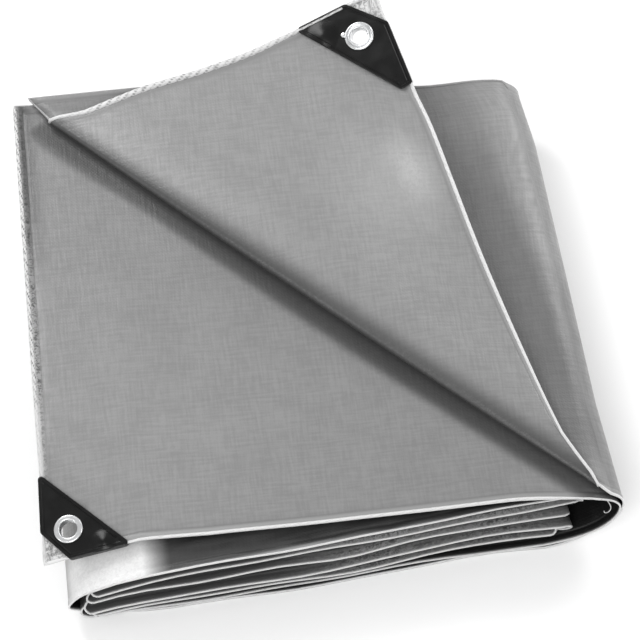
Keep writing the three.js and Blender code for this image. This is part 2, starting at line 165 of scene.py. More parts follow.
def newMaterial(name):
    material = bpy.data.materials.new(name)
    material.use_nodes = True
    tree = material.node_tree
    tree.nodes.clear()
    shader = addNode(tree, "ShaderNodeBsdfPrincipled")
    addNode(tree, "ShaderNodeOutputMaterial", {"Surface": shader.outputs["BSDF"]})
    return material, tree, shader


def setLooks(tree, shader, looks):
    for name, value in looks.items():
        feed(tree, shader.inputs[name], value)


# The camera stands where the photograph was taken from, with a long lens
cameraSettings = {
    "place": (-0.1191, -1.1, 1.9283),
    "turn": (30, 0, -7),         # degrees
    "lens": 135,                 # mm
    "sensor": 36,                # mm
    "farthest": 20,              # m
}


def makeCamera():
    camera = addObject("camera", bpy.data.cameras.new("camera"))
    camera.location = cameraSettings["place"]
    camera.rotation_euler = [math.radians(a) for a in cameraSettings["turn"]]
    camera.data.lens = cameraSettings["lens"]
    camera.data.sensor_width = cameraSettings["sensor"]
    camera.data.clip_end = cameraSettings["farthest"]
    bpy.context.scene.camera = camera


clothLook = {
    "film": "#878787",           # grey laminated film over the tapes
    "filmDark": "#7b7b7b",       # where the tapes show through more
    "hem": "#8f8f8f",            # welded hem, two sheets and a film
    "silverAndPaintedSheen": "#dadada",         # pale film crumpled at the corners, and painted sheen: reflections and highlights on loose film, on the inner layers' front edges and on the flap
    "paintedFurrowShade": "#2c2c2c",        # painted shade in the furrows of crumpled film
    "furrow": 3.8,               # mm between the furrows
    "inFolds": "#0d0d0d",        # deep in the folds, where the layers shade each other
    # mm from the edge of the roll along the diagonal, then the shade: of the second layer, of the
    # flap, and of the roll's edge between them
    "besideRoll": [(0, 0.66), (3.6, 0.72), (6.4, 0.76), (10, 0.74), (13.6, 0.6), (17, 0.32),
                   (21, 0.1), (25, 0)],
    "onRoll": [(0, 0.79), (3.6, 0.73), (7.3, 0.62), (11, 0.44), (14.5, 0.26), (18, 0.1), (22, 0.02),
               (26, 0)],
    "underRoll": [(3, 0.9), (7, 0.72)],
    "tapePitch": 3.2,            # mm; real tapes are about 2.2 mm apart, drawn coarser to show
    "streakWidth": 2.6,          # mm, one or two tapes that lie proud
    "streakLength": 26,          # mm
    "roughness": 0.4,
    "relief": 0.4,
    "ior": 1.51,
}
# rollGap says how far a face is from the roll: up to -2 on the flap, from 12 on the second layer,
# and at its most where the roll is far
rollGap = {"flap": -2, "second": 12, "far": 60}


# Laminated woven polyethylene: extruded film over woven tapes, satin with a faint cross-hatch
def makeClothMaterial():
    look = clothLook
    material, tree, shader = newMaterial("laminatedWovenPolyethylene")
    uv = addNode(tree, "ShaderNodeUVMap", uv_map="sheetMm").outputs["UV"]
    split = addNode(tree, "ShaderNodeSeparateXYZ", {"Vector": uv})
    waves, streaks = [], []
    long, short = 1 / look["streakLength"], 1 / look["streakWidth"]
    for axis, scale in (("X", (long, short, 1)), ("Y", (short, long, 1))):
        turn = compute(tree, "MULTIPLY", split.outputs[axis], 2 * math.pi / look["tapePitch"])
        waves.append(compute(tree, "SINE", turn))
        stretch = addNode(tree, "ShaderNodeVectorMath", {0: uv, 1: scale}, operation="MULTIPLY")
        streaks.append(noise(tree, stretch.outputs[0], 1.0, 2.0, Roughness=0.6))
    weave = compute(tree, "MULTIPLY", *waves)
    streak = compute(tree, "ADD", *streaks)
    tone = remap(tree, streak, 0.78, 1.22)
    blotch = compute(tree, "MULTIPLY_ADD", noise(tree, uv, 0.025, 4.0), 1.2, tone)
    share = compute(tree, "SUBTRACT", blotch, 0.6, use_clamp=True)
    colour = blend(tree, share, srgb(look["filmDark"]), srgb(look["film"]))
    colour = blend(tree, marked(tree, "hemShare"), colour, srgb(look["hem"]))
    # pale crumpled film, and painted sheen, reflections and highlights
    colour = blend(tree, marked(tree, "silverAndPaintedSheen"), colour, srgb(look["silverAndPaintedSheen"]))
    crumpleAndFurrowShade = marked(tree, "crumpleAndFurrowShade")
    furrows = noise(tree, uv, 1 / look["furrow"], 3.0, Roughness=0.7, Distortion=1.2)
    # painted shade in the furrows of crumpled film
    paintedFurrowShade = compute(tree, "MULTIPLY", remap(tree, furrows, 0.56, 0.42), crumpleAndFurrowShade)
    colour = blend(tree, paintedFurrowShade, colour, srgb(look["paintedFurrowShade"]))

    # painted shade along the roll and deep in the folds
    far = rollGap["far"]
    across = remap(tree, marked(tree, "rollGap"), -far, far)
    roll = addNode(tree, "ShaderNodeValToRGB", {"Fac": across})
    stops = [(rollGap["flap"] - d, s) for d, s in reversed(look["onRoll"])] + look["underRoll"]
    stops += [(rollGap["second"] + d, s) for d, s in look["besideRoll"]]
    for k, (at, dark) in enumerate(stops):
        stop = roll.color_ramp.elements[k] if k < 2 else roll.color_ramp.elements.new(1)
        stop.position = (at + far) / (2 * far)
        stop.color = (dark, dark, dark, 1)
    darkest = compute(tree, "MAXIMUM", marked(tree, "shade"), roll.outputs["Color"])
    colour = blend(tree, darkest, colour, srgb(look["inFolds"]))

    tapes = compute(tree, "MULTIPLY_ADD", weave, 0.12, streak)
    lifted = compute(tree, "MULTIPLY", furrows, crumpleAndFurrowShade)
    height = compute(tree, "MULTIPLY_ADD", lifted, 3.0, tapes)
    rough = look["roughness"]
    setLooks(tree, shader, {
        "Base Color": colour,
        "Normal": relief(tree, height, 0.0006, look["relief"]),
        "Roughness": remap(tree, streak, 0.7, 1.3, rough + 0.06, rough - 0.06),
        "IOR": look["ior"],
    })
    return material


hemLook = {
    "film": "#d2d2d2",           # painted highlight: the film over the rope as it catches the light
    "shadow": "#3c3c3c",         # painted shadow between the strands where the film is crumpled
    "flat": "#868686",           # hems that lie flat, as the sheet
    "pucker": 3.0,               # mm
    "roughness": 0.34,
    "ior": 1.51,
}


# Polyethylene film heat-welded round the hem rope: glossier and puckered by its strands, with a
# painted highlight that makes it paler and painted shadow between its strands
def makeHemMaterial():
    look = hemLook
    material, tree, shader = newMaterial("weldedFilmOverRope")
    place = addNode(tree, "ShaderNodeTexCoord").outputs["Object"]
    pucker = noise(tree, place, 1000 / look["pucker"] / 2, 3.0, Roughness=0.65)
    hollow = compute(tree, "MULTIPLY", pucker, marked(tree, "strand"))
    # painted shadow between the strands
    dark = compute(tree, "MULTIPLY", remap(tree, hollow, 0.34, 0.12), marked(tree, "crumpleAndFurrowShade"))
    film = blend(tree, marked(tree, "paleAndPaintedHighlight"), srgb(look["flat"]), srgb(look["film"]))
    setLooks(tree, shader, {
        "Base Color": blend(tree, dark, film, srgb(look["shadow"])),
        "Normal": relief(tree, pucker, 0.0012, 0.6),
        "Roughness": look["roughness"], "IOR": look["ior"],
    })
    return material


patchLook = {
    "colour": "#0a0a0a", "worn": "#121212",
    "grain": 1.1, "warp": 22,            # mm
    "warpShare": 0.4, "dentShare": 1.15,
    "roughness": 0.27, "shine": 0.28, "ior": 1.49,
}


# Injection-moulded polypropylene: black, with a fine spark-eroded grain and a satin shine
def makePatchMaterial():
    look = patchLook
    material, tree, shader = newMaterial("mouldedPolypropylene")
    place = addNode(tree, "ShaderNodeTexCoord").outputs["Object"]
    grain = noise(tree, place, 1000 / look["grain"], 2.0)
    scuff = noise(tree, place, 60.0, 4.0)
    worn = remap(tree, scuff, 0.45, 0.7)
    warp = noise(tree, place, 1000 / look["warp"], 1.0)
    height = compute(tree, "MULTIPLY", warp, look["warpShare"])
    for patch in (frontPatch, flapPatch):
        u, v, reach = patch["dent"]
        centre = platePoint(patch, u + patch["lean"] * v, v, plateTop)
        away = addNode(tree, "ShaderNodeVectorMath", {0: place, 1: centre}, operation="DISTANCE")
        dent = remap(tree, away.outputs["Value"], reach / 1000, 0, interpolation_type="SMOOTHSTEP")
        height = compute(tree, "MULTIPLY_ADD", dent, look["dentShare"], height)
    swollen = relief(tree, height, 0.006, 0.5)
    rough = look["roughness"]
    setLooks(tree, shader, {
        "Base Color": blend(tree, worn, srgb(look["colour"]), srgb(look["worn"])),
        "Normal": relief(tree, grain, 0.0002, 0.3, Normal=swollen),
        "Roughness": remap(tree, scuff, 0, 1, rough - 0.05, rough + 0.1),
        "IOR": look["ior"], "Specular IOR Level": look["shine"],
    })
    return material


metalLook = {"colour": "#dcddde", "roughness": 0.3, "scratch": 0.8}


# Pressed aluminium: bright, with the fine rings and small knocks that pressing leaves
def makeMetalMaterial():
    look = metalLook
    material, tree, shader = newMaterial("pressedAluminium")
    place = addNode(tree, "ShaderNodeTexCoord").outputs["Object"]
    knocks = noise(tree, place, 1000 / look["scratch"] / 4, 4.0, Roughness=0.6)
    rough = look["roughness"]
    setLooks(tree, shader, {
        "Base Color": srgb(look["colour"]), "Metallic": 1,
        "Normal": relief(tree, knocks, 0.0002, 0.35),
        "Roughness": remap(tree, knocks, 0, 1, rough - 0.06, rough + 0.14),
    })
    return material


clothMaterial = makeClothMaterial()
hemMaterial = makeHemMaterial()
metalMaterial = makeMetalMaterial()
print("stage: cloth, hem and metal materials made")

# The packet: its layers, as the sheet runs from the top layer round the outer fold and back up
sheetSize = {
    "depth": 460,                # front hem to back hem
    "midX": 245,
    "bottom": 1.5,
    "thick": 0.7,                # laminated sheet, with the air a fold keeps in it
    "hemThick": 1.3,             # sheet turned over itself and welded
    "hemWide": 7.6,
    "foldLeft": 0.935,           # share of the depth where the diagonal fold starts
    "hemEndX": 2,
    "topStartX": 483.5,
    "topShadeX": 458,            # where the top layer starts to turn down
    "hingeX": 82,                # where the drooping corner's hinge meets the front hem
    "cornerDroop": 16,
    "ropeInset": 0.6,
}
lowestMiddle = sheetSize["hemThick"] / 2 + 0.1       # mm above the floor
# name, height, front and back edge at midX with their slopes, whether its left end sags, and how
# far the front edge is moved about X 255 and X 365
layerRows = [
    ("top", 84, 14, 0, 446, 0, False, 0, 0),
    ("floor", 1.5, -14, 0.047, 449, -0.045, True, 0, 3.3),
    ("third", 69, -6, 0.083, 454, -0.05, True, 0, 0),
    ("fourth", 63, 3, 0.083, 450, -0.05, True, 0, 0),
    ("fifth", 57, -7, 0.077, 452, -0.045, True, 0, 2),
    ("sixth", 50, 0, 0.077, 446, -0.05, True, 0, 2),
    ("seventh", 44, -9.5, 0.068, 449, -0.05, True, -3.4, 4),
    ("eighth", 38, -3, 0.068, 443, -0.04, True, 0, 4),
    ("ninth", 31, -15, 0.068, 447, -0.045, True, 0, 5.5),
    ("twelfth", 13, -5, 0.055, 444, -0.045, True, 0, 5),
    ("eleventh", 19, -15, 0.055, 448, -0.05, True, 0, 6.4),
    ("tenth", 25, -6, 0.055, 442, -0.04, True, 0, 5),
    ("thirteenth", 4, -12, 0.047, 446, -0.045, True, 0, 3),
    ("second", 78, 10, 0, 454, -0.07, False, 0, 0),
]
layerKeys = ("name", "height", "frontMid", "frontSlope", "backMid", "backSlope", "droops", "near",
             "far")
layers = [dict(zip(layerKeys, row)) for row in layerRows]

# side, outermost X, share of the turn's height where that is, how far in each quarter reaches,
# steps
turnRows = [
    ("right", 497, 0.73, 27, 65, 26),
    ("left", 14.5, 0.5, 20, 22, 18),
    ("right", 464, 0.5, 5, 5, 8),
    ("left", 36, 0.5, 5, 5, 8),
    ("right", 465, 0.55, 7, 7, 8),
    ("left", 31, 0.5, 5, 5, 8),
    ("right", 453, 0.5, 5, 5, 8),
    ("left", 28, 0.5, 5, 5, 8),
    ("right", 456, 0.5, 10, 10, 12),
    ("left", 34, 0.5, 4, 4, 8),
    ("right", 442, 0.5, 4, 4, 8),
    ("left", 24, 0.5, 9, 9, 12),
    ("right", 494.6, 0.7, 26, 62.5, 22),
]
turnKeys = ("side", "noseX", "noseShare", "upperRun", "lowerRun", "steps")
turns = [dict(zip(turnKeys, row)) for row in turnRows]
spansPerLayer = 18
lastSpans = 45                   # along the second layer
# distances of the rows from a hem
hemSteps = [0, sheetSize["ropeInset"], 2.6, 4.2, 5.8, 7.2, 8.6, 11, 15, 20, 26]

# X, Y and roll radius at each end of the diagonal fold. The roll is round below and eases into the
# flap above, more gradually towards its front end.
foldRight = (476, 12, 2.2)
foldLeft = (36, 446, 2.6)
foldMiddle = {"radius": 7.5, "rise": 10, "runFront": 26, "runBack": 12}
foldAlong = Vector((foldLeft[0] - foldRight[0], foldLeft[1] - foldRight[1])).normalized()
foldOutward = Vector((-foldAlong.y, foldAlong.x))
topBackEdge = [(16, 474), (131, 474), (378, 450), (483.5, 446)]
flapCorner = Vector((348.8, 521.5, 132))
flapLeftEnd = Vector((277.8, 506.5, 106))
flapRightEnd = Vector((371.6, 430.4, 110))
flapLeftHem = [(62, 444.5, 92), (90, 451.5, 94.5), (128, 463.6, 96), (179, 474.8, 98.5),
               (227.4, 488.7, 101)]
flapRightHem = [(458.3, 38, 93), (446, 74.8, 95), (432, 133, 97), (417.6, 197.9, 99),
                (405.9, 255.4, 101), (394, 321.3, 104), (383.5, 380, 107)]
flapHemX = [(y, x) for x, y, z in flapRightHem] + [(430, 375)]
valleyX = [(38, 458), (133, 432), (255, 406), (380, 383), (440, 371)]      # beside the flap, by Y
rightTaper = [(0, 0), (100, 7), (250, 10), (380, 13), (446, 20)]


def frontAt(layer, x):
    if layer["name"] == "second":
        if x < 82:
            return 12 - 6.5 * (82 - x) / 83.3
        if x < 140:
            return mix(12, 9.5, (x - 82) / 58)
        return 9.5 - 8 * clamp01((x - 400) / 75) ** 1.5
    if layer["name"] == "top":
        return 14 - 9 * clamp01((x - 470) / 14)
    edge = layer["frontMid"] + layer["frontSlope"] * (x - sheetSize["midX"])
    edge += layer["near"] * bump(x, 255, 45) + layer["far"] * bump(x, 365, 75)
    if layer["name"] == "floor":
        edge += 12 * clamp01((95 - x) / 80) ** 1.5      # it draws back under its left end
    return edge


def backAt(layer, x):
    if layer["name"] == "top":
        return layer["backMid"]
    return layer["backMid"] + layer["backSlope"] * (x - sheetSize["midX"])


def taperAt(x, y):
    return alongTable(rightTaper, y) * clamp01((x - 300) / 190)


def leftSag(x, y):
    if x >= 100:
        return 1
    reach = max(0, 1 - ((100 - max(x, 12)) / 88) ** 2)
    return 1 - (0.58 - 0.58 * math.sqrt(reach)) * (1 - 0.7 * clamp01(y / 450))


# 0 at the front left, where the second layer's corner is held by its patch, and 1 away from it
def awayFromPatch(x, y):
    return 1 - (1 - smooth(x, 85, 175)) * (1 - smooth(y, 102, 192))


def settle(x, y):
    lower = 0.1 * clamp01((x - 100) / 390) * clamp01((y - 110) / 340)
    swell = 0.016 * math.sin(x / 78 + 0.4) * math.sin(y / 92 + 0.9)
    return 1 - lower + swell * awayFromPatch(x, y)


def liftTo(height, x, y, droops):
    share = settle(x, y) * (leftSag(x, y) if droops else 1)
    return sheetSize["bottom"] + (height - sheetSize["bottom"]) * share


# One run of section points from the top layer to the second one's left hem, each with X, height,
# the layers above and below and how far it has turned from one to the other. The second list says
# which turn each point belongs to.
def sectionPoints():
    points, turnOf = [], []
    x = sheetSize["topStartX"]
    for i, turn in enumerate(turns):
        above, below = layers[i], layers[i + 1]
        outward = 1 if turn["side"] == "right" else -1
        falling = above["height"] > below["height"]
        upper = max(above["height"], below["height"])
        lower = min(above["height"], below["height"])
        nose = mix(lower, upper, turn["noseShare"])
        start = turn["noseX"] - outward * (turn["upperRun"] if falling else turn["lowerRun"])
        if i > 0:
            for k in range(1, spansPerLayer):
                points.append((mix(x, start, k / spansPerLayer), above["height"], above, above, 0))
        for k in range(turn["steps"] + 1):
            angle = math.pi * k / turn["steps"]
            firstHalf = k / turn["steps"] <= 0.5
            run = turn["upperRun"] if firstHalf == falling else turn["lowerRun"]
            side = math.cos(angle) if falling else -math.cos(angle)
            rise = upper - nose if side > 0 else nose - lower
            px = turn["noseX"] - outward * run + outward * run * math.sin(angle)
            if i == 0 and angle < math.pi / 2 and px < sheetSize["topStartX"] - 0.5:
                continue
            points.append((px, nose + side * rise, above, below, k / turn["steps"]))
            x = px
        turnOf.extend([i] * (len(points) - len(turnOf)))
    last = layers[-1]
    end = sheetSize["hemEndX"]
    places = [mix(x, end + 32, k / lastSpans) for k in range(1, lastSpans + 1)]
    places += [end + inset for inset in reversed(hemSteps)]
    points += [(place, last["height"], last, last, 0) for place in places]
    turnOf.extend([len(turns)] * (len(points) - len(turnOf)))
    return points, turnOf


# Shares of the depth from the front hem to the back hem
def rowShares():
    depth = sheetSize["depth"]
    foldMm = sheetSize["foldLeft"] * depth
    middle = list(np.linspace(hemSteps[-1], foldMm - hemSteps[-1], 36))[1:-1]
    rows = hemSteps + middle + [foldMm - d for d in reversed(hemSteps)]
    rows += [depth - d for d in reversed(hemSteps) if depth - d > foldMm + 1.5]
    return [row / depth for row in rows]


shares = rowShares()
foldRow = min(range(len(shares)), key=lambda i: abs(shares[i] - sheetSize["foldLeft"]))
section, turnIndex = sectionPoints()


def stripPoint(point, share):
    x, height, above, below, turned = point
    front = mix(frontAt(above, x), frontAt(below, x), turned)
    back = mix(backAt(above, x), backAt(below, x), turned)
    y = mix(front, back, share)
    droops = mix(above["droops"], below["droops"], turned) > 0.4
    return Vector((x - taperAt(x, y), y, liftTo(height, x, y, droops)))


# X, Y, radius, reach and rise of the roll at a share of the depth
def foldPoint(share):
    along = share / sheetSize["foldLeft"]
    wide = math.sin(math.pi * clamp01(along))
    ends = mix(foldRight[2], foldLeft[2], along)
    radius = ends + (foldMiddle["radius"] - ends) * wide
    run = mix(foldMiddle["runFront"], foldMiddle["runBack"], along) * wide ** 0.6
    rise = ends + (foldMiddle["rise"] - ends) * wide
    return (mix(foldRight[0], foldLeft[0], along), mix(foldRight[1], foldLeft[1], along), radius,
            run, rise)


def topHeight(x, y):
    outer = turns[0]
    nose = mix(layers[1]["height"], layers[0]["height"], outer["noseShare"])
    bend = clamp01((x - (outer["noseX"] - outer["upperRun"])) / outer["upperRun"])
    height = nose + (layers[0]["height"] - nose) * math.sqrt(1 - bend * bend)
    return liftTo(height, x, y, False)


topColumns = list(np.linspace(0, 0.9, 38)) + [0.92, 0.935, 0.95, 0.96, 0.97, 0.98, 0.99]


# A point of the top layer, from the diagonal fold to where the outer fold starts
def topPoint(share, fraction):
    if share <= sheetSize["foldLeft"]:
        leftX, leftY = foldPoint(share)[:2]
    else:
        past = (share - sheetSize["foldLeft"]) / (1 - sheetSize["foldLeft"])
        leftX = mix(foldLeft[0], topBackEdge[0][0], past)
        leftY = mix(foldLeft[1], topBackEdge[0][1], past)
    right = stripPoint(section[0], share)
    x = mix(leftX, section[0][0], fraction)
    y = mix(leftY, right.y, fraction)
    reach = (x - topBackEdge[0][0]) / (section[0][0] - topBackEdge[0][0])
    straight = mix(topBackEdge[0][1], right.y, reach)
    if fraction > 0:
        y += (alongTable(topBackEdge, x) - straight) * share ** 6
    return Vector((x - taperAt(x, y) * min(1, fraction * 2), y, topHeight(x, y)))


# The second layer's front-left corner is turned a little in its plane, and droops past a hinge line
cornerTurn = [(2, 3.3), (10, 3.3), (12.5, 3), (sheetSize["hingeX"], 0)]


def cornerShift(point, x):
    point.x -= clamp01(1 - point.y / 94) * alongTable(cornerTurn, x)
    return point


def secondPoint(x, share):
    return cornerShift(stripPoint((x, layers[-1]["height"], layers[-1], layers[-1], 0), share), x)


hemBlend = 10.5 / sheetSize["depth"]
hingeFront = secondPoint(sheetSize["hingeX"], hemBlend)
hingeLeft = secondPoint(12.5, 0.204)
hingeLine = Vector((hingeLeft.x - hingeFront.x, hingeLeft.y - hingeFront.y))
hingeAcross = Vector((-hingeLine.y, hingeLine.x)).normalized()       # towards the corner


def hingeReach(point):
    across = (point.x - hingeFront.x) * hingeAcross.x
    return across + (point.y - hingeFront.y) * hingeAcross.y


cornerReach = hingeReach(secondPoint(sheetSize["hemEndX"], 0))


def drooped(point):
    reach = hingeReach(point)
    # the hinge is a soft bend
    eased = (reach + math.hypot(reach, 4)) / 2 if reach < 20 else reach
    point.z -= sheetSize["cornerDroop"] * eased / cornerReach
    return point


# Soft troughs and ridges of each visible layer
def uneven(name, x, y, front):
    if name == "second":
        swell = 0.8 * math.sin(x / 61 + 1.2) * math.sin(y / 74 + 0.3)
        trough = -0.9 * bump(x + 0.35 * y, 210, 26) * clamp01((y - 60) / 80)
        return (swell + trough) * awayFromPatch(x, y)
    if name == "top":
        valley = -4.2 * bump(x, alongTable(valleyX, y) + 16, 30) * clamp01((y - 60) / 60)
        crown = 1.2 * bump(x, sheetSize["topShadeX"] - taperAt(sheetSize["topShadeX"], y), 22)
        return (valley + crown) * clamp01((480 - x) / 40)
    if name == "third":
        depth = y - front
        wave = math.sin((x * 0.9 + depth * 1.6) / 7.5 + math.sin(x / 23))
        creases = 1.1 * wave * bump(x, 215, 85)
        creases += 0.8 * math.sin((x - depth * 1.3) / 12.0) * bump(x, 300, 120)
        dip = 2.2 * bump(depth, 16, 9) * clamp01((x - 95) / 40)
        return (creases * clamp01(depth / 6) - dip) * clamp01(1 - depth / 60)
    return 0.5 * math.sin(x / 31 + len(name)) * clamp01((x - 60) / 60)


def flapUneven(x, y):
    swell = 1.1 * math.sin(x / 57 + 0.4) * math.sin(y / 66 + 1.1)
    ridge = 1.6 * bump(x + 0.55 * y, 560, 34) - 1.0 * bump(x + 0.4 * y, 430, 30)
    return swell + ridge


def frontWave(name, x):
    phase = sum(ord(c) for c in name) % 7
    calm = 0.25 if name in ("top", "second") else 1
    return calm * (0.9 * math.sin(x / 47 + phase) + 0.5 * math.sin(x / 19 + 2 * phase))


def layerName(above, below, turned):
    return above["name"] if turned < 0.5 else below["name"]


def stripShaped(point, share):
    place = stripPoint(point, share)
    x, height, above, below, turned = point
    name = layerName(above, below, turned)
    if height == sheetSize["bottom"]:
        place.z = lowestMiddle
    elif turned in (0, 1):
        front = mix(frontAt(above, x), frontAt(below, x), turned)
        place.z += uneven(name, place.x, place.y, front)
    place.y += frontWave(name, x) * (1 - share) ** 8
    if name == "second" and turned in (0, 1):
        cornerShift(place, x)
        if x < 110 and place.y < 110:
            drooped(place)
    return place


def topShaped(share, fraction):
    place = topPoint(share, fraction)
    place.z += uneven("top", place.x, place.y, 0) * clamp01(fraction * 6)
    return place


# Painted shade: how dark each face is in the folds, where little light reaches, and where the flap
# casts its shadow: 0 in the open, 1 deep inside
shadeLook = {
    "deep": 0.98,
    "strip": 0.82,               # inner layers, right at their front edges
    # and towards their right ends
    "stripRight": {"fifth": 0.4, "seventh": 0.5, "ninth": 0.6, "eleventh": 0.65},
    "shelf": 0.86,               # third layer in front of the second one's hem
    "shelfFrom": (83, 100),      # X from which it is dark; short of that it has a painted reflection
    "lastTurn": 0.3,             # turn up to the second layer, at its top
    "groove": 0.42,              # second layer's front hem, along the edge of its weld
    "second": (0.03, 0.15),      # second layer, at its left and right ends
    "secondBack": 0.15,          # more of it at the back left
    "secondHem": 0.55,           # and beside the back of its left hem
    "underFlap": 0.8,
    "besideFlap": 0.4,           # top layer beside the flap's right hem, a painted shadow of the flap
    "behindFlap": 0.32,          # top layer behind the flap's top hem, a painted shadow
    "outerEdge": 0.2,            # top layer's far edge, where it turns down, towards the front: painted shade
}


def foldDistance(point):
    across = (point.x - foldRight[0]) * foldOutward.x
    return across + (point.y - foldRight[1]) * foldOutward.y


# Distance beyond the outer edge of the roll along the diagonal, positive over the second layer
def rollDistance(point):
    length = math.hypot(foldLeft[0] - foldRight[0], foldLeft[1] - foldRight[1])
    along = (point.x - foldRight[0]) * foldAlong.x + (point.y - foldRight[1]) * foldAlong.y
    return foldDistance(point) - foldPoint(clamp01(along / length) * sheetSize["foldLeft"])[2]


# Painted shades of the two faces of the strip: the one that is up on the top layer, then the other
def stripShade(place, point, share, turnOf):
    x, height, above, below, turned = point
    look = shadeLook
    edge = min(share, 1 - share) * sheetSize["depth"]
    inside = look["deep"] * smooth(edge, 0.4, 2.2)
    name = layerName(above, below, turned)
    if turnOf <= 1 and name in ("top", "floor"):
        across = place.x + taperAt(sheetSize["topShadeX"], place.y)
        front = 1 - smooth(place.y, 180, 270)
        return look["outerEdge"] * smooth(across, 466, 488) * front, inside
    if turnOf == 1 and name == "third" and turned < 1:
        return 0, inside
    if name == "third":
        back = max(smooth(place.x, 90, 98), smooth(place.y, 32, 48))
        covered = smooth(place.y, 5, 12) * look["deep"] * back
        shelf = look["shelf"] * smooth(place.x, *look["shelfFrom"])
        shelf *= smooth(place.y - frontAt(below, x), 0.5, 3)
        return max(shelf, covered), inside
    if name == "second" and turned in (0, 1):
        low = mix(*look["second"], smooth(place.x, 60, 420))
        low += look["secondBack"] * smooth(place.y, 110, 330) * (1 - smooth(place.x, 130, 330))
        low += look["secondHem"] * bump(x, 9, 9) * smooth(place.y, 240, 390)
        return inside, max(low, look["groove"] * bump(share * sheetSize["depth"], 6.6, 1.3))
    if turnOf == len(turns) - 1:
        return inside, mix(inside, look["lastTurn"], smooth(height, 58, 77.5))
    right = look["stripRight"].get(name, look["strip"])
    strip = mix(look["strip"], right, smooth(x, 170, 280)) * smooth(edge, 0.3, 1.6)
    dark = max(look["deep"] * smooth(edge, 2, 12), strip)
    return dark, dark


def secondGap(place):
    wide = 1 + 0.45 * smooth(place.y, 330, 430)
    beyond = 30 * (1 - smooth(462 - place.y, 0, 25))
    return rollGap["second"] + min(45, max(-8, rollDistance(place) / wide + beyond))


def flapGap(place):
    wide = 1 + 0.4 * smooth(place.y, 280, 420)
    return rollGap["flap"] - min(50, max(0, -rollDistance(place)) * wide)


# Painted shadow of the flap on the top layer: under it, beside its right hem and behind its top hem
def topShade(place):
    if place.y > 452 and place.x < 260:
        return shadeLook["behindFlap"] * (1 - smooth(place.x, 140, 230))
    beside = place.x - alongTable(flapHemX, place.y)
    if beside < -6:
        under = smooth(-foldDistance(place), 4, 20) * (1 - smooth(place.y, 440, 450))
        return shadeLook["underFlap"] * under
    wide = 1 + 0.26 * smooth(place.y, 100, 210)
    ends = (1 - 0.45 * smooth(place.y, 320, 440)) * smooth(place.y, 8, 60)
    return shadeLook["besideFlap"] * ends * (1 - smooth(beside, 32 * wide, 52 * wide))


# The sheet's middle surface, row by row, with these marks for each of its points: UV, share of hem,
# painted shades of its two faces, how pale (crumpled film and painted sheen), how crumpled (with
# painted shade in its furrows), and rollGap of its two faces
sheetPoints, sheetMarks, sheetFaces = [], [], []
sheetAttributes = (("hemShare", 2, 2), ("shade", 3, 4), ("silverAndPaintedSheen", 5, 5), ("crumpleAndFurrowShade", 6, 6),
                   ("rollGap", 7, 8))


def addPoint(point, *marks):
    sheetPoints.append(point)
    sheetMarks.append(marks)
    return len(sheetPoints) - 1


# How pale and how crumpled. The third layer's end gets a painted reflection, the second layer's
# left hem a crumpled furrow with painted shade and a painted highlight along its edge, and the
# inner layers a painted sheen at their front edges.
def stripPaintedSheenAndCrumple(place, point, share, turnOf, endGap):
    x, height, above, below, turned = point
    if endGap < 12:
        rough = smooth(place.y, 120, 190)
        furrow = bump(endGap, 4.8, mix(1.4, 2.6, rough))
        return mix(0.7, 0.25, rough) * bump(endGap, 1.4, 1.8), mix(0.6, 0.95, rough) * furrow
    edge = share * sheetSize["depth"]
    if turned == 0 and above["name"] in shadeLook["stripRight"] and edge < 40:
        paintedSheen = max(bump(x, 288, 62), bump(x, 395, 52)) * bump(edge, 5, 4)
        return 0.62 * paintedSheen, 0.8 * paintedSheen
    if "third" not in (above["name"], below["name"]) or turnOf > 2 or place.x > 110:
        return 0, 0
    depth = place.y - frontAt(below, x)
    loose = (1 - smooth(place.x, 90, 101)) * (1 - smooth(depth, 30, 60)) * smooth(place.z, 20, 45)
    return loose, 0.1 * loose


def hemShareAt(distance):
    return clamp01((sheetSize["hemWide"] - distance) / 1.2)


def buildGrid():
    stations = [[topShaped(share, f) for f in topColumns] + [stripShaped(p, share) for p in section]
                for share in shares]
    middle = stations[len(stations) // 2]
    run = [0.0]
    for a, b in zip(middle, middle[1:]):
        run.append(run[-1] + (b - a).length)
    first = len(topColumns)
    far = rollGap["far"]
    grid = []
    for share, row in zip(shares, stations):
        edge = min(share, 1 - share) * sheetSize["depth"]
        indices = []
        for column, point in enumerate(row):
            endGap = run[-1] - run[column]
            distance = min(edge, endGap)
            if row is not stations[0]:
                point.z -= bump(distance, 7.2, 1.3)          # groove along the edge of the weld
            point.z = max(point.z, lowestMiddle)
            if column < first:
                along = run[first] - (row[first] - point).length
                marks = (topShade(point), 0.9, 0, 0, far, far)
            else:
                along = run[column]
                k = column - first
                x, height, above, below, turned = section[k]
                isSecond = "second" in (above["name"], below["name"])
                marks = (*stripShade(point, section[k], share, turnIndex[k]),
                         *stripPaintedSheenAndCrumple(point, section[k], share, turnIndex[k], endGap),
                         far, secondGap(point) if isSecond else far)
            indices.append(addPoint(point, along, share * sheetSize["depth"], hemShareAt(distance),
                                    *marks))
        grid.append(indices)
    for upper, lower in zip(grid, grid[1:]):
        for c in range(len(upper) - 1):
            sheetFaces.append((upper[c], upper[c + 1], lower[c + 1], lower[c]))
    return grid


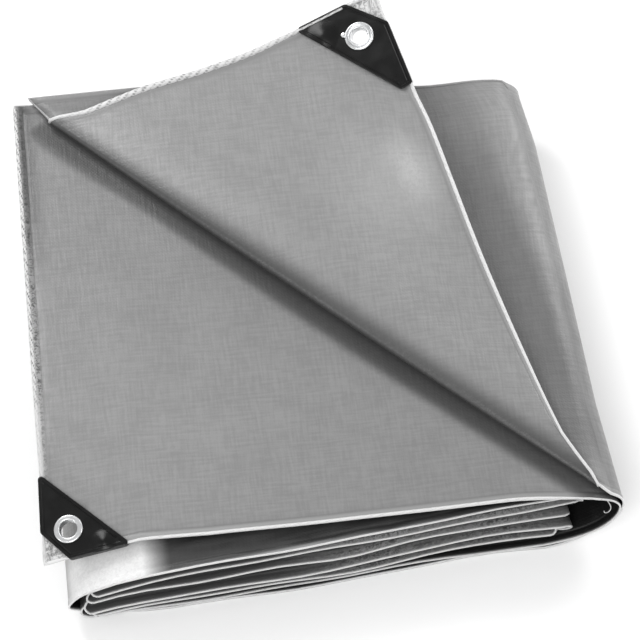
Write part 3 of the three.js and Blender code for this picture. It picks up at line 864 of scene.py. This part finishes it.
# Point at a share of the length of a smooth curve through some points
def catmull(points, share):
    curve = [Vector(p) for p in points]
    lengths = [0.0]
    samples = []
    ends = [2 * curve[0] - curve[1]] + curve + [2 * curve[-1] - curve[-2]]
    for i in range(len(curve) - 1):
        a, b, c, d = ends[i:i + 4]
        for k in range(24):
            t = k / 24
            samples.append(0.5 * (2 * b + (c - a) * t + (2 * a - 5 * b + 4 * c - d) * t * t
                                  + (3 * b - a - 3 * c + d) * t ** 3))
    samples.append(curve[-1])
    for a, b in zip(samples, samples[1:]):
        lengths.append(lengths[-1] + (b - a).length)
    at = share * lengths[-1]
    i = min(int(np.searchsorted(lengths, at, side="right")) - 1, len(samples) - 2)
    past = clamp01((at - lengths[i]) / (lengths[i + 1] - lengths[i]))
    return samples[i].lerp(samples[i + 1], past)


flapLook = {
    "rollSteps": 18,
    "rows": [0.012, 0.028, 0.048, 0.072] + [0.1 + 0.9 * k / 29 for k in range(30)],
    "flatRows": [0.93, 0.86, 0.78, 0.7, 0.62, 0.54, 0.46, 0.38, 0.3, 0.23, 0.17, 0.12, 0.07],
    "flatFrom": 1.17,            # where the flat corner starts, past flapLeftEnd and flapRightEnd
    "slant": 1.41,               # rows meet the hems at 45 degrees
    "rollFades": 0.6,            # share of the flap over which the roll's own shape dies out
    "easeTimes": 14,
    "easeReach": 5,              # rows
    # painted highlight on the flap: how strong, its distance from the right hem and its Y, each
    # with its width
    "glare": [(0.27, 37, 20, 338, 36), (0.125, 80, 50, 322, 62)],
}


# A row of the flap, as close to its ends as the rows of the sheet are to its hems
def flapRow(right, left):
    depth, widest, slant = sheetSize["depth"], hemSteps[-1], flapLook["slant"]
    length = (left - right).length
    reach = widest * slant
    squeeze = min(1, length * 0.42 / reach)
    row = []
    for share in shares[:foldRow + 1]:
        fromRight = share * depth
        fromLeft = (sheetSize["foldLeft"] - share) * depth
        if fromRight <= widest:
            distance = fromRight * slant * squeeze
        elif fromLeft <= widest:
            distance = length - fromLeft * slant * squeeze
        else:
            past = (fromRight - widest) / (sheetSize["foldLeft"] * depth - 2 * widest)
            distance = mix(reach * squeeze, length - reach * squeeze, past)
        row.append(right.lerp(left, distance / length))
    return row


def rollRow(starts, step):
    angle = math.pi * step / flapLook["rollSteps"]
    row = []
    for base, share in zip(starts, shares):
        radius, run, rise = foldPoint(share)[2:]
        out = radius * math.sin(angle)
        up = radius * (1 - math.cos(angle))
        if angle > math.pi / 2:
            out = -run + (radius + run) * math.sin(angle)
            up = radius - rise * math.cos(angle)
        row.append(Vector((base.x + foldOutward.x * out, base.y + foldOutward.y * out,
                           base.z + up)))
    return row


# Roll along the diagonal, then the flap, row by row away from the fold
def buildFlap(grid):
    look = flapLook
    depth = sheetSize["depth"]
    previous = [grid[i][0] for i in range(foldRow + 1)]
    starts = [sheetPoints[i] for i in previous]
    startAlong = [sheetMarks[i][0] for i in previous]
    rows = [rollRow(starts, step) for step in range(1, look["rollSteps"] + 1)]
    leftHem = [rows[-1][foldRow]] + flapLeftHem + [flapCorner.lerp(flapLeftEnd, look["flatFrom"])]
    rightHem = [rows[-1][0]] + flapRightHem + [flapCorner.lerp(flapRightEnd, look["flatFrom"])]
    offsets = [base - point for base, point in zip(rows[-1], flapRow(rightHem[0], leftHem[0]))]
    for share in look["rows"]:
        row = flapRow(catmull(rightHem, share), catmull(leftHem, share))
        aside = max(0, 1 - share / look["rollFades"]) ** 2
        ends = min(1, share * 5) * min(1, (1 - share) * 4)
        for point, offset in zip(row, offsets):
            point.x += offset.x * aside
            point.y += offset.y * aside
            point.z += offset.z * (1 - share) ** 2
            point.z += flapUneven(point.x, point.y) * ends
        rows.append(row)
    for share in look["flatRows"]:
        out = share * look["flatFrom"]
        rows.append(flapRow(flapCorner.lerp(flapRightEnd, out), flapCorner.lerp(flapLeftEnd, out)))
    first, last = (look["rollSteps"] + side * look["easeReach"] for side in (-1, 1))
    for k in range(look["easeTimes"]):
        rows[first:last] = [[mix(here, (before + after) / 2, 0.5)
                             for before, here, after in zip(*rows[r - 1:r + 2])]
                            for r in range(first, last)]
    foldStart = Vector(foldRight[:2])
    flapGrid = []
    for row in rows:
        indices = []
        for i, point in enumerate(row):
            fromRight = shares[i] * depth
            fromLeft = (sheetSize["foldLeft"] - shares[i]) * depth
            flat = Vector((point.x, point.y)) - foldStart
            mirrored = (foldStart + foldAlong * flat.dot(foldAlong)
                        - foldOutward * flat.dot(foldOutward))
            across = startAlong[i] - (starts[i].x - mirrored.x)
            hemShade = max(0.38 * bump(fromLeft, 5.0, 2.2),
                           0.3 * bump(fromRight, 6.4, 1.6) * smooth(point.y, 60, 160))
            fromHem = (point - row[0]).length / look["slant"]
            # painted highlight on the flap, drawn as pale film
            glare = sum(strong * bump(fromHem, out, wide) * bump(point.y, y, deep)
                        for strong, out, wide, y, deep in look["glare"])
            hem = hemShareAt(min(shares[i], sheetSize["foldLeft"] - shares[i]) * depth)
            indices.append(addPoint(point, across, mirrored.y, hem, 0.6, hemShade, glare,
                                    0.4 * glare, rollGap["far"], flapGap(point)))
        for i in range(foldRow):
            sheetFaces.append((indices[i], previous[i], previous[i + 1], indices[i + 1]))
        previous = indices
        flapGrid.append(indices)
    return flapGrid


grid = buildGrid()
flapGrid = buildFlap(grid)


# Frame of a corner of the sheet, with its origin at the corner and its x along the first hem
def cornerFrame(origin, alongFirst, alongSecond):
    first = (alongFirst - origin).normalized()
    normal = first.cross(alongSecond - origin).normalized()
    matrix = Matrix((first, normal.cross(first), normal)).transposed().to_4x4()
    matrix.translation = origin
    local = matrix.inverted() @ alongSecond
    return {"frame": matrix, "lean": local.x / local.y}


# frame and lean say where the corner is, and how far from square. corners are u, v and rounding
# radius, and dent is u, v and reach of a swelling left by moulding.
frontPatch = {
    **cornerFrame(drooped(secondPoint(sheetSize["hemEndX"], 0)),
                  drooped(secondPoint(sheetSize["hingeX"], 0)),
                  drooped(secondPoint(sheetSize["hemEndX"], hemBlend))),
    "corners": [(23.0, -1.7, 4), (77.4, -1.7, 2.8), (-1.8, 81.0, 2.8), (-1.8, 27.4, 4)],
    "eyelet": (23.2, 24.4), "flange": 12.5, "clip": 24,
    "dent": (53, 6, 12),
}
flapPatch = {
    **cornerFrame(flapCorner, flapLeftEnd, flapRightEnd),
    "corners": [(29.5, -1.7, 5), (83.1, -1.7, 3.4), (10.6, 99.6, 4), (-1.7, 98.2, 4),
                (-1.7, 33.2, 4)],
    "eyelet": (28.2, 34), "flange": 13.8, "clip": 30, "tab": (12.9, -7.8, 2.6),
    "channel": [(33, -0.9), (90, -0.9), (90, 2.2), (33, 2.2)],      # u, v; the hem rope shows in it
    "dent": (60, 17, 17),
}
plate = {"cloth": 1.5, "gap": 0.4, "thick": 1.2, "edge": 0.7, "rim": 2.6, "step": 0.55, "hole": 9.3,
         "slotReach": 140}
plateTop = plate["cloth"] + plate["gap"] + plate["thick"]
# how near the corner's plane the cloth in a patch lies, the radius it leaves open for the eyelet's
# barrel, and how far a quad may be bent before it is halved
clothAtPatch = {"near": 6, "open": 8.4, "bent": 0.12}


def centreOf(patch):
    u, v = patch["eyelet"]
    return u + patch["lean"] * v, v


def platePoint(patch, u, v, w):
    return tuple(toRow(patch["frame"] @ Vector((u, v, w))))


def unit(vectors):
    return vectors / np.maximum(np.linalg.norm(vectors, axis=1, keepdims=True), 1e-9)


# The cloth is the middle surface thickened, with its eyelet holes left open
def makeCloth():
    points = np.array([tuple(p) for p in sheetPoints])
    faces = np.array(sheetFaces)
    marks = np.array(sheetMarks, dtype=float)
    for patch in (frontPatch, flapPatch):
        inverse = np.array(patch["frame"].inverted())
        local = points @ inverse[:3, :3].T + inverse[:3, 3]
        near = np.abs(local[:, 2]) < clothAtPatch["near"]
        flat = local[:, :2] - np.array(centreOf(patch))
        opened = np.zeros(len(faces), dtype=bool)
        for k in range(4):
            start, end = flat[faces[:, k]], flat[faces[:, (k + 1) % 4]]
            side = end - start
            along = -(start * side).sum(axis=1) / np.maximum((side * side).sum(axis=1), 1e-9)
            nearest = start + side * np.clip(along, 0, 1)[:, None]
            opened |= np.hypot(nearest[:, 0], nearest[:, 1]) < clothAtPatch["open"]
        faces = faces[~(opened & near[faces].all(axis=1))]
        u, v = local[:, 0] - patch["lean"] * local[:, 1], local[:, 1]
        corner = np.clip((patch["clip"] + 6 - u - v) / 6, 0, 1) * near
        outside = np.clip((patch["clip"] - 3 - u - v) / 6, 0, 1) * corner
        # its corners turn pale and crumpled: crumpled film with a painted highlight, and painted
        # shade in its furrows
        marks[:, 5] = np.maximum(marks[:, 5], 0.8 * corner)
        marks[:, 6] = np.maximum(marks[:, 6], 0.65 * corner)
        ripple = 1.3 * np.sin(0.62 * u + 0.3 * v) * np.sin(0.55 * v - 0.2 * u + 1)
        points += np.outer(ripple * outside, np.array(patch["frame"])[:3, 2])
    a, b, c, d = (points[faces[:, k]] for k in range(4))
    faceNormal = np.cross(c - a, d - b)
    normals = np.zeros_like(points)
    for k in range(4):
        np.add.at(normals, faces[:, k], faceNormal)
    offset = unit(normals) * mix(sheetSize["thick"], sheetSize["hemThick"], marks[:, 2:3]) / 2
    both = np.concatenate([points + offset, points - offset])
    # quads that aren't flat are halved the same way on both faces
    lift = np.abs(((d - a) * unit(np.cross(b - a, c - a))).sum(axis=1))
    count = len(points)
    sides, edges = [], {}
    for f, isBent in zip(faces.tolist(), lift > clothAtPatch["bent"]):
        for side in ((f[:3], [f[0], f[2], f[3]]) if isBent else (f,)):
            sides.append(side)
            sides.append([i + count for i in reversed(side)])
        for k in range(4):
            edges[(f[k], f[(k + 1) % 4])] = True
    sides += [(end, start, start + count, end + count) for start, end in edges
              if (end, start) not in edges]
    used = np.unique(np.concatenate([faces.ravel(), faces.ravel() + count]))
    newIndex = -np.ones(2 * count, dtype=int)
    newIndex[used] = np.arange(len(used))
    rowPoints = (both[used] - np.array(originShift)) / 1000
    cleanFaces = [tuple(int(newIndex[i]) for i in side) for side in sides]
    piece = meshObject("tarp_cloth", rowPoints.tolist(), cleanFaces, clothMaterial)
    loops = np.zeros(len(piece.data.loops), dtype=int)
    piece.data.loops.foreach_get("vertex_index", loops)
    uv = np.tile(marks[:, :2], (2, 1))[used][loops]
    piece.data.uv_layers.new(name="sheetMm").data.foreach_set("uv", uv.ravel())
    for label, upper, lower in sheetAttributes:
        values = np.concatenate([marks[:, upper], marks[:, lower]])[used]
        piece.data.attributes.new(label, "FLOAT", "POINT").data.foreach_set("value", values)
    area = float(np.linalg.norm(faceNormal, axis=1).sum() / 2) / 1e6
    print("cloth area m2", round(area, 3), "faces", len(cleanFaces))
    return piece, area


cloth, clothArea = makeCloth()
print("stage: cloth made")

# The hem rope follows the boundary of the sheet in one closed run
hemRope = {
    # mm; the radius is times that of each stretch
    "inputs": {"Radius": 1.0, "Twist Depth": 0.5, "Strand Pitch": 9.0, "Step": 2.4, "Wobble": 0.5,
               "Seed": 7, "Sides": 10},
    # each stretch of hem: radius in mm, how crumpled (with painted shade), how pale (a painted
    # highlight)
    "flapTop": (2.9, 0.5, 0.9), "flapRight": (1.3, 0.15, 0.95), "layers": (0.85, 0.25, 1.0),
    "frontHem": (1.5, 0.2, 1.0), "leftHem": (1.5, 1.0, 0.75), "back": (0.9, 0.2, 0.1),
    "inPatch": 1.1, "inChannel": 1.9,        # radius in a corner patch, and in its channel
    "lowest": 1.5,                           # mm above the floor
    "apart": 1.2,                            # least distance of two points of its path
    "flapAbove": 87,                         # height above which a point is on the flap
}
looseThread = {
    "points": [(482.4, 4.0, 68.5), (485.2, 3.2, 62), (486.6, 2.6, 56), (486.0, 2.4, 50.5),
               (484.0, 2.3, 47.6), (481.9, 2.4, 48.2), (481.2, 2.6, 50.5)],
    "look": (0.45, 0.1, 0.75),               # radius in mm, how crumpled (with painted shade), how pale
    "spans": 24, "step": 1.2,
}


# Keeps a spline's parameter as a value on its curve
def captured(tree, curve, label, parameter):
    spline = addNode(tree, "GeometryNodeSplineParameter")
    keep = addNode(tree, "GeometryNodeCaptureAttribute", {"Geometry": curve})
    keep.capture_items.new("FLOAT", label)
    feed(tree, keep.inputs[label], spline.outputs[parameter])
    return keep.outputs["Geometry"], keep.outputs[label]


def named(tree, name):
    node = addNode(tree, "GeometryNodeInputNamedAttribute", {"Name": name}, data_type="FLOAT")
    return node.outputs["Attribute"]


def ropeTree(material):
    tree = bpy.data.node_groups.new("twistedHem", "GeometryNodeTree")
    for label, kind in (("Geometry", "Geometry"), ("Radius", "Float"), ("Twist Depth", "Float"),
                        ("Strand Pitch", "Float"), ("Step", "Float"), ("Wobble", "Float"),
                        ("Seed", "Int"), ("Sides", "Int")):
        tree.interface.new_socket(label, in_out="INPUT", socket_type="NodeSocket" + kind)
    tree.interface.new_socket("Geometry", in_out="OUTPUT", socket_type="NodeSocketGeometry")
    given = addNode(tree, "NodeGroupInput").outputs
    line = addNode(tree, "GeometryNodeMeshToCurve", {"Mesh": given["Geometry"]})
    resampled = addNode(tree, "GeometryNodeResampleCurve",
                        {"Curve": line.outputs["Curve"], "Length": given["Step"]}, mode="LENGTH")
    spine, along = captured(tree, resampled.outputs["Curve"], "Along", "Length")
    ring = addNode(tree, "GeometryNodeCurvePrimitiveCircle",
                   {"Resolution": given["Sides"], "Radius": given["Radius"]})
    profile, around = captured(tree, ring.outputs["Curve"], "Round", "Factor")
    tube = addNode(tree, "GeometryNodeCurveToMesh", {"Curve": spine, "Profile Curve": profile,
                                                     "Scale": named(tree, "width"),
                                                     "Fill Caps": True})
    lay = compute(tree, "DIVIDE", along, given["Strand Pitch"])
    angle = compute(tree, "MULTIPLY", compute(tree, "MULTIPLY_ADD", around, 3.0, lay), math.pi)
    strand = compute(tree, "ABSOLUTE", compute(tree, "SINE", angle))
    twist = compute(tree, "MULTIPLY", strand, given["Twist Depth"])
    wobble = addNode(tree, "ShaderNodeTexNoise", {"Scale": 0.2, "Detail": 2.0, "W": given["Seed"]},
                     noise_dimensions="4D")
    centred = compute(tree, "SUBTRACT", wobble.outputs["Fac"], 0.5)
    loose = compute(tree, "MULTIPLY_ADD", centred, given["Wobble"], twist)
    normal = addNode(tree, "GeometryNodeInputNormal").outputs["Normal"]
    offset = addNode(tree, "ShaderNodeVectorMath", {
        0: normal, "Scale": compute(tree, "MULTIPLY", loose, named(tree, "crumpleAndFurrowShade"))},
        operation="SCALE")
    shape = addNode(tree, "GeometryNodeSetPosition",
                    {"Geometry": tube.outputs["Mesh"], "Offset": offset.outputs[0]})
    shape = addNode(tree, "GeometryNodeStoreNamedAttribute",
                    {"Geometry": shape.outputs["Geometry"], "Name": "strand", "Value": strand},
                    data_type="FLOAT", domain="POINT")
    shape = addNode(tree, "GeometryNodeSetShadeSmooth", {"Geometry": shape.outputs["Geometry"]})
    shape = addNode(tree, "GeometryNodeRealizeInstances", {"Geometry": shape.outputs["Geometry"]})
    shape = addNode(tree, "GeometryNodeSetMaterial",
                    {"Geometry": shape.outputs["Geometry"], "Material": material})
    addNode(tree, "NodeGroupOutput", {"Geometry": shape.outputs["Geometry"]})
    return tree


# Runs a tree on a path given in mm, with each point's radius, how crumpled (with painted shade)
# and how pale (a painted highlight), and keeps the result as a plain mesh in the row frame
def pieceFromPath(name, tree, path, looks, cyclic, values):
    line = bpy.data.meshes.new(name + "Path")
    count = len(path)
    edges = [(i, (i + 1) % count) for i in range(count if cyclic else count - 1)]
    line.from_pydata([tuple(p) for p in path], edges, [])
    for k, label in enumerate(("width", "crumpleAndFurrowShade", "paleAndPaintedHighlight")):
        attribute = line.attributes.new(label, "FLOAT", "POINT")
        attribute.data.foreach_set("value", [look[k] for look in looks])
    carrier = addObject(name + "Path", line)
    modifier = carrier.modifiers.new("shape", "NODES")
    modifier.node_group = tree
    for item in tree.interface.items_tree:
        if item.in_out == "INPUT" and item.name in values:
            modifier[item.identifier] = values[item.name]
    mesh = shapedMesh(carrier)
    carrier.modifiers.remove(modifier)
    bpy.data.objects.remove(carrier)
    mesh.transform(Matrix.Scale(0.001, 4) @ Matrix.Translation(-originShift))
    mesh.name = name
    return addObject(name, mesh)


def ropePath():
    start = len(topColumns)
    bend = start + 4
    end = start + turnIndex.index(len(turns)) + 2           # a little past the last turn
    bends = [flapGrid[k] for k in (5, 11)] + flapGrid[flapLook["rollSteps"]:]
    stretches = [
        ([row[1] for row in reversed(bends)], "flapRight"),
        (grid[1][:bend], "flapRight"),
        (grid[1][bend:end], "layers"),
        (grid[1][end:-1], "frontHem"),
        ([row[-2] for row in grid[2:-2]], "leftHem"),
        (grid[-2][1:-1][::-1], "back"),
        ([row[0] for row in reversed(grid[foldRow:-1])], "back"),
        ([row[foldRow - 1] for row in bends], "flapTop"),
    ]
    path, looks = [], []
    for indices, name in stretches:
        for i in indices:
            if not path or (sheetPoints[i] - path[-1]).length > hemRope["apart"]:
                path.append(sheetPoints[i].copy())
                path[-1].z = max(path[-1].z, hemRope["lowest"])
                looks.append(hemRope[name])
    table = np.array(looks)
    for look, point in zip(table, path):
        onFlap = point.z > hemRope["flapAbove"]
        if onFlap and point.y > 440 and point.x < 200:      # its top hem thins out to its tip
            fuller = smooth(point.x, 38, 100)
            look[:2] *= (mix(0.6, 1, fuller), mix(0.3, 1.4, fuller))
        if onFlap and point.x > 370 and point.y < 440:      # its right hem is fuller to the corner
            fuller = smooth(point.y, 60, 220)
            look[:2] *= (mix(1, 1.45, fuller), mix(1, 1.5, fuller))
        if point.x < 20 and point.y < 190:                  # front end of the left hem, smooth
            look[:2] *= (1.1, mix(0.2, 1, smooth(point.y, 120, 190)))
        for patch in (frontPatch, flapPatch):
            u, v, w = patch["frame"].inverted() @ point
            if abs(w) < clothAtPatch["near"] and 18 < u + v < 92:
                look[0] = hemRope["inChannel" if "channel" in patch and v < 4 else "inPatch"]
    # looks change gradually from one stretch to the next
    for k in range(3):
        table = (np.roll(table, 1, axis=0) + table + np.roll(table, -1, axis=0)) / 3
    return path, table.tolist()


ropeGeometry = ropeTree(hemMaterial)
hem = pieceFromPath("roped_hem", ropeGeometry, *ropePath(), True, hemRope["inputs"])
threadPath = [catmull(looseThread["points"], k / looseThread["spans"])
              for k in range(looseThread["spans"] + 1)]
thread = pieceFromPath("loose_thread", ropeGeometry, threadPath,
                       [looseThread["look"]] * len(threadPath), False,
                       dict(hemRope["inputs"], Step=looseThread["step"]))
print("hem faces", len(hem.data.polygons), "thread faces", len(thread.data.polygons))
print("stage: hem made")


# Outline of a patch moved inwards, with its corners rounded
def roundedLoop(corners, lean, inset):
    count = len(corners)
    verts = [Vector((u + lean * v, v)) for u, v, rounding in corners]
    lines, points = [], []
    for i in range(count):
        direction = (verts[(i + 1) % count] - verts[i]).normalized()
        lines.append((verts[i] + Vector((-direction.y, direction.x)) * inset, direction))
    for i in range(count):
        (p, d), (q, e) = lines[i - 1], lines[i]
        cross = d.x * e.y - d.y * e.x
        corner = p + d * (((q.x - p.x) * e.y - (q.y - p.y) * e.x) / cross)
        radius = max(corners[i][2] - inset, 0.25)
        half = math.acos(max(-1, min(1, -d.dot(e)))) / 2
        centre = corner - d * (radius / math.tan(half)) + Vector((-d.y, d.x)) * radius
        first = math.atan2(-d.x, d.y)
        for k in range(7):
            angle = first + (math.pi - 2 * half) * k / 6
            points.append(centre + Vector((math.cos(angle), math.sin(angle))) * radius)
    return points


# Smooth shading stops at edges that turn by more than an angle, and a plate's flat faces take no
# tilt from the rim round them
def sharpen(mesh, degrees):
    mesh.polygons.foreach_set("use_smooth", [True] * len(mesh.polygons))
    mesh.set_sharp_from_angle(angle=math.radians(degrees))
    for polygon in mesh.polygons:
        if polygon.area > 4e-5:
            polygon.use_smooth = False
    mesh.update()


# Two plates with a rim, joined round the hems, with a slot for the cloth and a hole for the eyelet
def makePatch(name, patch):
    lean = patch["lean"]
    inner, top = plate["cloth"] + plate["gap"], plateTop
    edge, step, rim = plate["edge"], plate["step"], plate["rim"]
    profile = [(0, 0), (0, top - edge), (edge * 0.3, top - edge * 0.3), (edge, top), (rim, top),
               (rim + 0.5, top - step), (rim + 1.4, top - step), (rim + 2.0, top - 0.1)]
    profile = [(inset, -height) for inset, height in reversed(profile[1:])] + profile
    points = [platePoint(patch, p.x, p.y, height) for inset, height in profile
              for p in roundedLoop(patch["corners"], lean, inset)]
    faces = ringFaces(0, len(profile), len(points) // len(profile))
    solid = meshObject(name, points, faces, patchMaterial)
    near, far = -plate["gap"], plate["slotReach"]
    cutters = [([(near, near), (far, near), (far, far), (near + lean * far, far)], -inner, inner)]
    if "channel" in patch:
        cutters.append(([(u + lean * v, v) for u, v in patch["channel"]], 0.5, 9))
    cutters.append((circle(*centreOf(patch), plate["hole"], 64), -9, 9))
    for outline, low, high in cutters:
        ends = [platePoint(patch, u, v, w) for w in (low, high) for u, v in outline]
        cutter = meshObject("cutter", ends, ringFaces(0, 2, len(outline)), patchMaterial, False)
        cut = solid.modifiers.new("cut", "BOOLEAN")
        cut.operation = "DIFFERENCE"
        cut.solver = "EXACT"
        cut.object = cutter
        mesh = shapedMesh(solid)
        solid.modifiers.remove(cut)
        solid.data = mesh
        bpy.data.objects.remove(cutter)
    sharpen(solid.data, 32)
    return solid


patchMaterial = makePatchMaterial()
frontPlate = makePatch("front_patch", frontPatch)
flapPlate = makePatch("flap_patch", flapPatch)
print("stage: corner patches made")

# Each eyelet is a pressed ring with a rolled flange on each face
eyeletSize = {
    "bore": 7.8, "barrel": 8.9, "thick": 1.4, "gap": 0.3, "sides": 96,
    # share of the tab's radius, and height
    "tab": [(0.02, 0.02), (0.85, 0.02), (1, 0.4), (0.92, 0.95), (0.6, 1.25), (0.02, 1.3)],
    "tabSides": 24,
}


def eyeletProfile(flange, face, washer):
    bore = eyeletSize["bore"]
    top = face + eyeletSize["thick"]
    foot = [(eyeletSize["barrel"], face), (flange - 0.25, face), (flange, face + 0.35)]
    crest = [(flange - 0.5, top - 0.12), (flange - 1.0, top)]
    mouth = [(bore + 0.9, top - 0.05), (bore + 0.35, top - 0.3), (bore + 0.08, top - 0.75),
             (bore, top - 1.3)]
    upper = foot + [(flange - 0.1, face + 0.9)] + crest
    if washer:
        upper += [(flange - 1.4, top - 0.15), (flange - 1.8, top - 0.9), (flange - 2.6, top - 1.15),
                  (flange - 3.1, top - 0.8), (flange - 3.5, top - 0.05)]
    upper += [(mix(bore, flange, 0.35), top + 0.02)] + mouth
    return upper + [(radius, -height) for radius, height in reversed(foot + crest + mouth)]


def makeEyelet(name, patch):
    u, v = centreOf(patch)
    face = plateTop + eyeletSize["gap"]
    profile = eyeletProfile(patch["flange"], face, "tab" in patch)
    sides = eyeletSize["sides"]
    rings = [(circle(u, v, radius, sides), height) for radius, height in profile]
    points = [platePoint(patch, *ring[k], height) for k in range(sides) for ring, height in rings]
    faces = [quad[::-1] for quad in ringFaces(0, sides, len(profile), closed=True)]
    if "tab" in patch:
        aside, back, reach = patch["tab"]
        sides = eyeletSize["tabSides"]
        faces += ringFaces(len(points), len(eyeletSize["tab"]), sides)
        for share, height in eyeletSize["tab"]:
            points += [platePoint(patch, *place, face + height)
                       for place in circle(u + aside, v + back, share * reach, sides)]
    piece = meshObject(name, points, faces, metalMaterial)
    sharpen(piece.data, 40)
    return piece


frontRing = makeEyelet("front_eyelet_ring", frontPatch)
flapRing = makeEyelet("flap_eyelet_ring", flapPatch)
print("stage: eyelets made")

stageLook = {
    "floor": "#f8f8f8", "floorRough": 0.9,
    "floorHalf": 6,              # m
    "world": "#ffffff", "worldStrength": 0.55,
    # name, degrees from the back towards the left, degrees up, distance and side in m, watts
    "lights": [
        ("backLeft", 38, 42, 1.4, 0.6, 9),
        ("backRight", -48, 38, 2.2, 0.95, 13),
        ("frontLeft", 118, 24, 2.0, 0.4, 5),
        ("right", -100, 20, 2.0, 0.8, 13),
        ("front", 158, 50, 2.2, 0.9, 17),
    ],
}


def makeStage():
    look = stageLook
    material, tree, shader = newMaterial("paleStudioFloor")
    setLooks(tree, shader, {"Base Color": srgb(look["floor"]), "Roughness": look["floorRough"]})
    half = look["floorHalf"]
    corners = [(-half, -half, 0), (half, -half, 0), (half, half, 0), (-half, half, 0)]
    meshObject("floor", corners, [(0, 1, 2, 3)], material, False)
    world = bpy.data.worlds.new("studio")
    bpy.context.scene.world = world
    world.use_nodes = True
    background = world.node_tree.nodes["Background"]
    background.inputs["Color"].default_value = srgb(look["world"])
    background.inputs["Strength"].default_value = look["worldStrength"]
    for name, azimuth, elevation, distance, side, watts in look["lights"]:
        around, up = math.radians(azimuth), math.radians(elevation)
        data = bpy.data.lights.new(name, "AREA")
        data.size = side
        data.energy = watts
        lamp = addObject(name, data)
        place = distance * Vector((-math.cos(up) * math.sin(around),
                                   math.cos(up) * math.cos(around), math.sin(up)))
        lamp.location = place
        lamp.rotation_euler = (-place).to_track_quat("-Z", "Y").to_euler()
    bpy.context.scene.view_settings.view_transform = "Standard"


makeCamera()
makeStage()
print("stage: camera, floor and lights made")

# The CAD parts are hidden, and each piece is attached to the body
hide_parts("tarp_sheet")
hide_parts("front_corner_patch")
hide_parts("flap_corner_patch")
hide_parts("front_eyelet")
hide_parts("flap_eyelet")
for piece, slotName in ((cloth, "tarp_cloth"), (hem, "tarp_cloth"), (thread, "tarp_cloth"),
                        (frontPlate, "corner_patch"), (flapPlate, "corner_patch"),
                        (frontRing, "eyelet_metal"), (flapRing, "eyelet_metal")):
    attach(piece, body)
